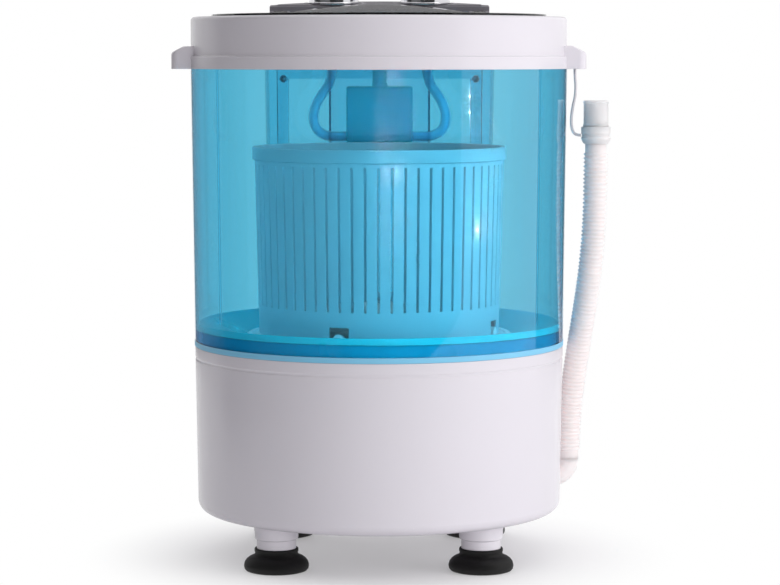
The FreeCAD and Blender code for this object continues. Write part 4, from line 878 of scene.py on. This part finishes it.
class WASHER_OT_basket(bpy.types.Operator):
    """Make the slotted spin basket"""

    bl_idname = "washer.basket"
    bl_label = "Spin basket"

    SLOT_LOW, SLOT_HIGH, SLOT_RADIUS = 224, 347, 107.5
    NOTCHES, NOTCH_HIGH, NOTCH_HALF, NOTCH_RADIUS = 4, 211, 9.5, 106
    # Up the wall past notches and slots, out and over the rim, and down its inside
    WALL = (
        (NOTCH_RADIUS, 198), (106.12, NOTCH_HIGH), (106.6, 222.8), (106.65, SLOT_LOW), (108, 285),
        (109.4, SLOT_HIGH), (109.45, 348.2), (109.5, 350.5), (111.6, 351), (111.6, 361.4), (110.9, 362),
        (108, 362), (107.4, 361.4), (107.3, 352),
    )
    # The plate with two fine rings and a collar round its open middle
    PLATE = (
        (32, 212), (104.2, 212), (104.2, 214.2), (96, 214.2), (94, 215.2), (92, 214.2), (60, 214.2),
        (58, 215.2), (56, 214.2), (40, 214.2), (36, 217), (32, 217), (32, 212),
    )

    def execute(self, context):
        sizes = context.scene.washer_sizes
        pitch = math.tau / sizes.slots
        slot = sizes.slot_wide / (self.SLOT_RADIUS * MM)
        wall, line = drawn(self.WALL, FRONT + slot / 2)
        land = bmesh.ops.spin(wall, geom=line, angle=pitch - slot, steps=4, **UPRIGHT)["geom_last"]
        bmesh.ops.spin(wall, geom=land, angle=slot, steps=1, **UPRIGHT)
        around(wall, sizes.slots)
        bmesh.ops.remove_doubles(wall, verts=wall.verts, dist=1e-6)
        outward(wall)
        drop(wall, lambda p: self.SLOT_LOW < p.z < self.SLOT_HIGH and off_turn(p, pitch, FRONT) < slot / 2)
        notch = self.NOTCH_HALF / self.NOTCH_RADIUS
        drop(wall, lambda p: p.z < self.NOTCH_HIGH
             and off_turn(p, math.tau / self.NOTCHES, FRONT - LUG_TURN) < notch)
        piece(wall, "basket_wall", "basket_body", "white_basket", ["spin_basket"], wall=2.1, edge=0.25)
        plate = turned(self.PLATE, 120)
        piece(plate, "basket_floor", "basket_body", "white_basket", ["basket_plate"], edge=0.3)
        return {"FINISHED"}


class WASHER_OT_pulsator(bpy.types.Operator):
    """Make the pulsator disc with its hub, vanes and basket lugs"""

    bl_idname = "washer.pulsator"
    bl_label = "Pulsator"

    VANES, LUGS = 4, 4
    # Under the disc, round its rim, across a shallow dip and up the hub
    DISC = (
        (7, 193), (116, 193), (117, 194), (117, 196.5), (116, 197.5), (112, 197.5), (111, 196.6),
        (100, 196.6), (99, 197.5), (34, 197.5), (29, 198.6), (26, 201.5), (22.5, 212), (20.8, 218),
        (17.5, 221.8), (13, 224), (7, 224), (7, 193),
    )
    # A vane's outline along its length
    VANE = ((14, DISC_FACE), (94, DISC_FACE), (86, DISC_FACE + 10), (14, DISC_FACE + 10))
    VANE_THICK, VANE_ROUND = 6, 2.2
    LUG_RADIUS, LUG_HIGH, LUG_THICK, LUG_REACH = 5, 200.5, 5, 107

    def execute(self, context):
        half = self.VANE_THICK / 2
        vane = prism([(-half, y, z) for y, z in self.VANE], (self.VANE_THICK, 0, 0))
        rounded(vane, self.VANE_ROUND, 4, lambda p: p.z > DISC_FACE + 3.5)
        shape = joined(turned(self.DISC, 120), around(vane, self.VANES), around(self.lug(), self.LUGS))
        piece(shape, "wash_disc", "agitator_body", "white_pulsator", ["pulsator"], edge=0.3)
        return {"FINISHED"}

    def lug(self):
        """A round head over straight sides, made thick and put where a basket notch stands."""
        bm = disc(self.LUG_RADIUS, 32, at(0, 0, self.LUG_HIGH) @ Matrix.Rotation(math.pi / 2, 4, "X"))
        for v in bm.verts:
            if v.co.z < (self.LUG_HIGH - 0.1) * MM:
                v.co.z = DISC_FACE * MM
        pushed(bm, bm.faces[:], (0, self.LUG_THICK, 0))
        return moved(outward(bm), Matrix.Rotation(-LUG_TURN, 4, "Z") @ at(0, -self.LUG_REACH, 0))


class WASHER_OT_ring(bpy.types.Operator):
    """Make the top ring with its mouth, the tray under it and the two side grips"""

    bl_idname = "washer.ring"
    bl_label = "Top ring and grips"

    MOUTH, RING_RADIUS, RING_ROUND = 139, 165, 3
    # From the middle of the top out, down the side and over a step to the lower edge
    SKIN = (
        (0, RING_TOP), (MOUTH, RING_TOP), (RING_RADIUS, RING_TOP), (RING_RADIUS, 441.6), (165.6, 441),
        (166.7, 441), (167.2, 440.5), (167.2, 430), (165.5, 430),
    )
    TRAY_HALF, TRAY_REAR, TRAY_TOP = 113, 116, 470.9
    SHELF_RADIUS, SHELF_THICK = 162.6, 2.5
    # A grip's outline seen from the front, its half length, where its soft edges begin, and its hollow
    GRIP_OUT, GRIP_SIDE, GRIP_HALF, GRIP_SOFT = 180, 444, 40, 166
    GRIP = ((160, 430), (GRIP_OUT, 430), (GRIP_OUT, GRIP_SIDE), (168, 450), (160, 450))
    GRIP_WALL, GRIP_HOLLOW = 2.5, 11

    def execute(self, context):
        skin = turned(self.SKIN, context.scene.washer_sizes.steps)
        rounded(skin, self.RING_ROUND, 5, lambda p: p.z > RING_TOP - 0.1
                and p.xy.length > self.RING_RADIUS - 1)
        inner = [f for f in skin.faces if f.calc_center_median().xy.length < (self.MOUTH - 0.5) * MM]
        cut(skin, (0, DECK_FRONT, 0), (0, 1, 0), faces=inner)
        drop(skin, lambda p: p.z > RING_TOP - 1 and p.xy.length < self.MOUTH - 0.1 and p.y < DECK_FRONT - 0.1)
        piece(skin, "rim_ring", "machine_body", "white_shell", ["top_ring", "top_deck"], wall=2.4, edge=0.4)
        front = block((-self.TRAY_HALF, DECK_FRONT, TUB_TOP), (self.TRAY_HALF, self.TRAY_REAR, self.TRAY_TOP))
        tray = joined(front, self.shelf())
        piece(tray, "switch_floor", "machine_body", "white_shell", ["switch_tray"], edge=0.3)
        for side, name in ((-1, "left"), (1, "right")):
            self.grip(side, name)
        return {"FINISHED"}

    def shelf(self):
        """The tray's floor: a round plate cut off at the mouth's straight rear edge."""
        bm = disc(self.SHELF_RADIUS, 160, at(0, 0, TUB_TOP))
        cut(bm, (0, DECK_FRONT, 0), (0, -1, 0), clear_outer=True)
        pushed(bm, bm.faces[:], (0, 0, self.SHELF_THICK))
        return outward(bm)

    def grip(self, side, name):
        """A lip pushed along the side, with a round outer end and a hollow under it for the fingers."""
        bm = prism([(side * x, -self.GRIP_HALF, z) for x, z in self.GRIP], (0, 2 * self.GRIP_HALF, 0))
        rounded(bm, 7, 6, lambda p: abs(p.x) > self.GRIP_OUT - 1 and abs(p.y) > self.GRIP_HALF - 0.1
                and p.z < self.GRIP_SIDE - 1)
        rounded(bm, 1.6, 3, lambda p: p.z > self.GRIP_SIDE - 0.1 and abs(p.x) > self.GRIP_SOFT)
        under = [f for f in bm.faces if f.normal.z < -0.9]
        bmesh.ops.inset_region(bm, faces=under, thickness=self.GRIP_WALL * MM, use_even_offset=True)
        under = [f for f in bm.faces if f.normal.z < -0.9 and abs(f.calc_center_median().y) < 10 * MM]
        pushed(bm, under, (0, 0, self.GRIP_HOLLOW))
        bmesh.ops.delete(bm, geom=under, context="FACES_ONLY")
        piece(outward(bm), f"side_grip_{name}", "machine_body", "white_shell", [f"grip_{name}"], edge=0.5)


class WASHER_OT_lid(bpy.types.Operator):
    """Make the smoked lid with its low dome, tongue and hinge knuckles"""

    bl_idname = "washer.lid"
    bl_label = "Smoked lid"

    DOME_RISE, DOME_REACH, DOME_STEP = 9.2, 88, 8
    SHEET_HIGH, SHEET_RADIUS, SHEET_REAR = 477.2, 147, 101.5
    # The tongue's half width and length, and the line behind which the sheet is cut for it
    TONGUE_HALF, TONGUE_LONG, TONGUE_CUTS = 78, 10.8, 90
    # The arm from the sheet to a knuckle
    ARM_FRONT, ARM_REAR, ARM_LOW, ARM_HIGH = 98, 104.6, 475.5, 478.2
    # Knuckles lie along X: radii, and places from the knuckle's middle
    KNUCKLE_OUT, KNUCKLE_HALF, KNUCKLE_RADIUS, KNUCKLE_BORE = 91, 5.6, 3.2, 1.6
    KNUCKLE = (
        (KNUCKLE_BORE, -KNUCKLE_HALF), (KNUCKLE_RADIUS, -KNUCKLE_HALF), (KNUCKLE_RADIUS, KNUCKLE_HALF),
        (KNUCKLE_BORE, KNUCKLE_HALF), (KNUCKLE_BORE, -KNUCKLE_HALF),
    )

    def execute(self, context):
        sheet = self.sheet(context.scene.washer_sizes.steps)
        piece(sheet, "smoked_lid_sheet", "lid_body", "smoked_lid", ["lid"], wall=1.8, edge=0.5)
        barrels = bmesh.new()
        for x in (-self.KNUCKLE_OUT, self.KNUCKLE_OUT):
            barrel = moved(turned(self.KNUCKLE, 32), at(x, HINGE.y, HINGE.z) @ ACROSS)
            arm = block((x - self.KNUCKLE_HALF, self.ARM_FRONT, self.ARM_LOW),
                        (x + self.KNUCKLE_HALF, self.ARM_REAR, self.ARM_HIGH))
            joined(barrels, barrel, arm)
        piece(barrels, "lid_knuckles", "lid_body", "smoked_lid", edge=0.3)
        return {"FINISHED"}

    def sheet(self, steps):
        """A turned sheet with an arc for its dome, cut straight at the rear, where a tongue grows on."""
        bow = (self.DOME_REACH ** 2 + self.DOME_RISE ** 2) / (2 * self.DOME_RISE)
        foot = self.SHEET_HIGH + self.DOME_RISE - bow
        dome = [(r, foot + math.sqrt(bow ** 2 - r ** 2)) for r in range(0, self.DOME_REACH, self.DOME_STEP)]
        flat = [(self.DOME_REACH, self.SHEET_HIGH), (self.SHEET_RADIUS, self.SHEET_HIGH)]
        skin = facing(turned(dome + flat, steps), 2)
        cut(skin, (0, self.SHEET_REAR, 0), (0, 1, 0), clear_outer=True)
        for side in (-1, 1):
            rear = [f for f in skin.faces if f.calc_center_median().y > self.TONGUE_CUTS * MM]
            cut(skin, (side * self.TONGUE_HALF, 0, 0), (side, 0, 0), faces=rear)
        low, half = (self.SHEET_REAR - 0.1) * MM, (self.TONGUE_HALF + 0.1) * MM
        root = [e for e in skin.edges if e.is_boundary and all(
            v.co.y > low and abs(v.co.x) < half for v in e.verts)]
        tongue, _ = grown(skin, root)
        bmesh.ops.translate(skin, verts=tongue, vec=(0, self.TONGUE_LONG * MM, 0))
        if max(skin.faces, key=lambda f: f.calc_center_median().y).normal.z < 0:
            outward(skin)
        return skin


class WASHER_OT_console(bpy.types.Operator):
    """Make the rear console with the hinge ears, its face plate and the marks beside the knobs"""

    bl_idname = "washer.console"
    bl_label = "Console"

    # Radius of the round rear, half the width, height at the front, and the rounding of the ends
    BODY_RADIUS, BODY_HALF, BODY_TALL, BODY_ROUND = 162, 101, 11.5, 7
    PLATE_RADIUS, PLATE_HALF, PLATE_FRONT, PLATE_TALL = 158, 94, 117.5, 0.9
    # The plate's foot is sunk a little into the body
    PLATE_LOW = RING_TOP + BODY_TALL - 0.05
    EARS, EAR_THICK, EAR_RADIUS, EAR_LOW = (83.5, 98.5), 3, 3.2, 475.3
    # Ticks stand on the plate, every few degrees, where they don't run past its front or rear
    TICK_TURNS, LONG_EVERY, TICK_LONG, TICK_SHORT = range(-150, 181, 10), 30, 3.4, 2.0
    TICK_NEAR, TICK_FAR, TICK_HALF, TICK_BAND = 26.2, 29.5, 0.35, 13
    TICK_LOW, TICK_HIGH = 0.85, 1.0

    def execute(self, context):
        body = self.plan(self.BODY_RADIUS, DECK_FRONT, self.BODY_HALF, RING_TOP)
        self.raised(body, self.BODY_TALL, level_foot=True)
        rounded(body, self.BODY_ROUND, 6, lambda p: abs(p.x) > self.BODY_HALF - 0.1
                and p.z > RING_TOP + self.BODY_TALL - 0.5)
        piece(body, "console_housing", "machine_body", "grey_console", ["console"], edge=0.9, fold=30)
        plate = self.plan(self.PLATE_RADIUS, self.PLATE_FRONT, self.PLATE_HALF, self.PLATE_LOW)
        self.raised(plate, self.PLATE_TALL)
        piece(plate, "console_plate", "machine_body", "grey_panel", ["panel_plate"], edge=0.25, fold=30)
        ears = joined(*(self.ear(side * x) for side in (-1, 1) for x in self.EARS))
        piece(ears, "hinge_ears", "machine_body", "grey_console", edge=0.3)
        piece(self.ticks(), "dial_ticks", "machine_body", "dial_marks")
        return {"FINISHED"}

    def plan(self, radius, front, half, low):
        """An outline from above: a round rear, a straight front and two straight ends."""
        bm = disc(radius, 160, at(0, 0, low))
        cut(bm, (0, front, 0), (0, -1, 0), clear_outer=True)
        for side in (-1, 1):
            cut(bm, (side * half, 0, 0), (side, 0, 0), clear_outer=True)
        return bm

    def raised(self, bm, tall, level_foot=False):
        """Push a plan up; its top, and its foot unless that is level, climb to the rear with the panel."""
        top = set(pushed(bm, bm.faces[:], (0, 0, tall)))
        for v in bm.verts:
            if v in top or not level_foot:
                v.co.z += (v.co.y - DECK_FRONT * MM) * math.tan(PANEL_TILT)
        return outward(bm)

    def ear(self, x):
        """A plate with a round head on the hinge line, held by the console's front."""
        half = self.EAR_THICK / 2
        bm = disc(self.EAR_RADIUS, 32, at(x - half, HINGE.y, HINGE.z) @ ACROSS)
        for v in bm.verts:
            if v.co.z < (HINGE.z - 0.1) * MM:
                v.co.z = self.EAR_LOW * MM
                v.co.y = HINGE.y * MM + math.copysign(self.EAR_RADIUS * MM, v.co.y - HINGE.y * MM)
        bmesh.ops.remove_doubles(bm, verts=bm.verts, dist=1e-6)
        pushed(bm, bm.faces[:], (self.EAR_THICK, 0, 0))
        arm = block((x - half, HINGE.y, self.EAR_LOW), (x + half, DECK_FRONT + 0.5, HINGE.z))
        return joined(outward(bm), arm)

    def ticks(self):
        """Printed marks round each knob."""
        ticks = bmesh.new()
        for seat in KNOB_SEATS.values():
            for turn in self.TICK_TURNS:
                lean = math.radians(turn)
                if abs(self.TICK_FAR * math.sin(lean)) > self.TICK_BAND:
                    continue
                long = self.TICK_SHORT if turn % self.LONG_EVERY else self.TICK_LONG
                near = (self.TICK_NEAR, -self.TICK_HALF, self.TICK_LOW)
                far = (self.TICK_NEAR + long, self.TICK_HALF, self.TICK_HIGH)
                joined(ticks, moved(block(near, far), seat @ Matrix.Rotation(lean, 4, "Z")))
        return ticks


class WASHER_OT_knobs(bpy.types.Operator):
    """Make the two plated knobs with their caps"""

    bl_idname = "washer.knobs"
    bl_label = "Knobs"

    # Radii and heights over the panel: the bore, the flared foot, the side and the rim round the cap
    KNOB = (
        (3, 4.1), (17, 4.1), (20, 1.2), (22.6, 1.2), (23, 1.6), (23, 3), (22.6, 3.4), (22.4, 3.8),
        (21.9, 15.4), (21.5, 16.3), (20.6, 16.8), (17.4, 16.8), (17, 16.5), (17, 13.8), (3, 13.8), (3, 4.1),
    )
    CAP = ((0, 13.8), (16.8, 13.8), (16.8, 16), (16.3, 16.2), (15.6, 15.9), (6, 15.6), (0, 15.6))
    BAR_HALF, BAR_REACH, BAR_LOW, BAR_TOP = 3, 15.4, 15.2, 18.5
    # A dark line let into the bar's front end
    POINTER = ((-0.5, -15.45, 15.4), (0.5, -8, 18.6))

    def execute(self, context):
        for body, name in (("timer_body", "timer"), ("mode_body", "mode")):
            seat = KNOB_SEATS[body]
            knob = turned(self.KNOB, 112)
            piece(moved(knob, seat), f"plated_knob_{name}", body, "chrome_knob", [f"{name}_knob"], edge=0.2)
            cap = joined(turned(self.CAP, 96), self.bar())
            piece(moved(cap, seat), f"knob_inset_{name}", body, "knob_cap", [f"{name}_cap"], edge=0.15)
            pointer = block(*self.POINTER)
            piece(moved(pointer, seat), f"knob_pointer_{name}", body, "black_rubber", edge=0.15)
        return {"FINISHED"}

    def bar(self):
        """The finger bar across a cap."""
        half, reach = self.BAR_HALF, self.BAR_REACH
        bar = block((-half, -reach, self.BAR_LOW), (half, reach, self.BAR_TOP))
        return rounded(bar, 1.2, 4, lambda p: p.z > self.BAR_TOP - 0.1 or (
            abs(p.y) > reach - 0.1 and abs(p.x) > half - 0.1))


class WASHER_OT_wiring(bpy.types.Operator):
    """Make the wiring duct, terminal box, sleeve and wire looms behind the flat wall"""

    bl_idname = "washer.wiring"
    bl_label = "Wiring"

    # A channel that is open to the rear, seen from above
    DUCT_FRONT, DUCT_REAR, DUCT_HALF, DUCT_WALL = 125.1, 150, 47, 1.6
    DUCT_LOW, DUCT_TALL = 210.2, 219.6
    BOX_HALF, BOX_FRONT, BOX_REAR, BOX_LOW, BOX_TOP = 31, 126.8, 146.6, 361, 413
    # Ribs on the box's rear: where they stand, and the corners of the one in the middle
    BOX_RIBS = range(-24, 25, 8)
    BOX_RIB = ((-0.8, 146, 366), (0.8, 147.4, 408))
    LOOM_BACK = 138
    SLEEVE = (
        (0, BOX_TOP), (7.4, BOX_TOP), (7.4, 415), (6.5, 416), (6.5, 434), (7.2, 435), (7.2, 445.4),
        (6.6, 446), (0, 446),
    )
    # From the switches down and round into the box's end
    LOOM = (
        (42.3, 462.2), (42.3, 420.6), (56.9, 402.4), (63, 386.3), (59.8, 372.7), (48.9, 366.5), (39, 366.5),
        (31, 366.5),
    )

    def execute(self, context):
        piece(self.duct(), "wire_duct", "machine_body", "blue_duct", ["wiring_duct"], edge=0.4)
        piece(self.box(), "junction_box", "machine_body", "blue_box", ["terminal_box"], edge=0.4)
        sleeve = moved(turned(self.SLEEVE, 40), at(0, self.LOOM_BACK, 0))
        piece(sleeve, "box_sleeve", "machine_body", "blue_box", ["loom_sleeve"])
        wide = context.scene.washer_sizes.loom_wide
        for side, name in ((-1, "left"), (1, "right")):
            spots = [(side * x, self.LOOM_BACK, z) for x, z in self.LOOM]
            strand(spots, f"wire_loom_{name}", wide, 6, "grey_loom", f"loom_{name}")
        return {"FINISHED"}

    def duct(self):
        """The channel, with its floor just behind the flat wall."""
        outer, inner = self.DUCT_HALF, self.DUCT_HALF - self.DUCT_WALL
        front, floor, rear = self.DUCT_FRONT, self.DUCT_FRONT + self.DUCT_WALL, self.DUCT_REAR
        outline = (
            (-outer, front), (outer, front), (outer, rear), (inner, rear), (inner, floor), (-inner, floor),
            (-inner, rear), (-outer, rear),
        )
        return prism([(x, y, self.DUCT_LOW) for x, y in outline], (0, 0, self.DUCT_TALL))

    def box(self):
        """A block with rounded ends and upright ribs on its rear."""
        half, low, top = self.BOX_HALF, self.BOX_LOW, self.BOX_TOP
        box = block((-half, self.BOX_FRONT, low), (half, self.BOX_REAR, top))
        rounded(box, 2.5, 4, lambda p: abs(p.x) > half - 0.1 or not low + 0.1 < p.z < top - 0.1)
        return joined(box, *(moved(block(*self.BOX_RIB), at(x, 0, 0)) for x in self.BOX_RIBS))


class WASHER_OT_mechanism(bpy.types.Operator):
    """Give every piece that is carried over from the frame its finish"""

    bl_idname = "washer.mechanism"
    bl_label = "Carried pieces"

    def execute(self, context):
        for part in frame["record"]["subparts"]:
            mesh = frame["nodes"][part["node"]].data
            mesh.materials.clear()
            mesh.materials.append(finish(part["material_slot"]))
        return {"FINISHED"}


OPERATORS = (
    WASHER_OT_stage, WASHER_OT_hose, WASHER_OT_base, WASHER_OT_tub, WASHER_OT_basket, WASHER_OT_pulsator,
    WASHER_OT_ring, WASHER_OT_lid, WASHER_OT_console, WASHER_OT_knobs, WASHER_OT_wiring, WASHER_OT_mechanism,
)


class WASHER_PT_panel(bpy.types.Panel):
    """Lists the pieces, their sizes and their colours"""

    bl_idname = "WASHER_PT_panel"
    bl_label = "Mini washing machine"
    bl_space_type = "VIEW_3D"
    bl_region_type = "UI"
    bl_category = "Washer"

    def draw(self, context):
        for group in (context.scene.washer_sizes, context.scene.washer_colours):
            for name in group.__annotations__:
                self.layout.prop(group, name)
        for operator in OPERATORS:
            self.layout.operator(operator.bl_idname)


CLASSES = (WasherSizes, WasherColours, *OPERATORS, WASHER_PT_panel)


def register():
    for cls in CLASSES:
        bpy.utils.register_class(cls)
    bpy.types.Scene.washer_sizes = PointerProperty(type=WasherSizes)
    bpy.types.Scene.washer_colours = PointerProperty(type=WasherColours)


def unregister():
    del bpy.types.Scene.washer_colours
    del bpy.types.Scene.washer_sizes
    for cls in reversed(CLASSES):
        bpy.utils.unregister_class(cls)


def main():
    register()
    for operator in OPERATORS:
        group, name = operator.bl_idname.split(".")
        getattr(getattr(bpy.ops, group), name)()


if __name__ == "__main__":
    main()
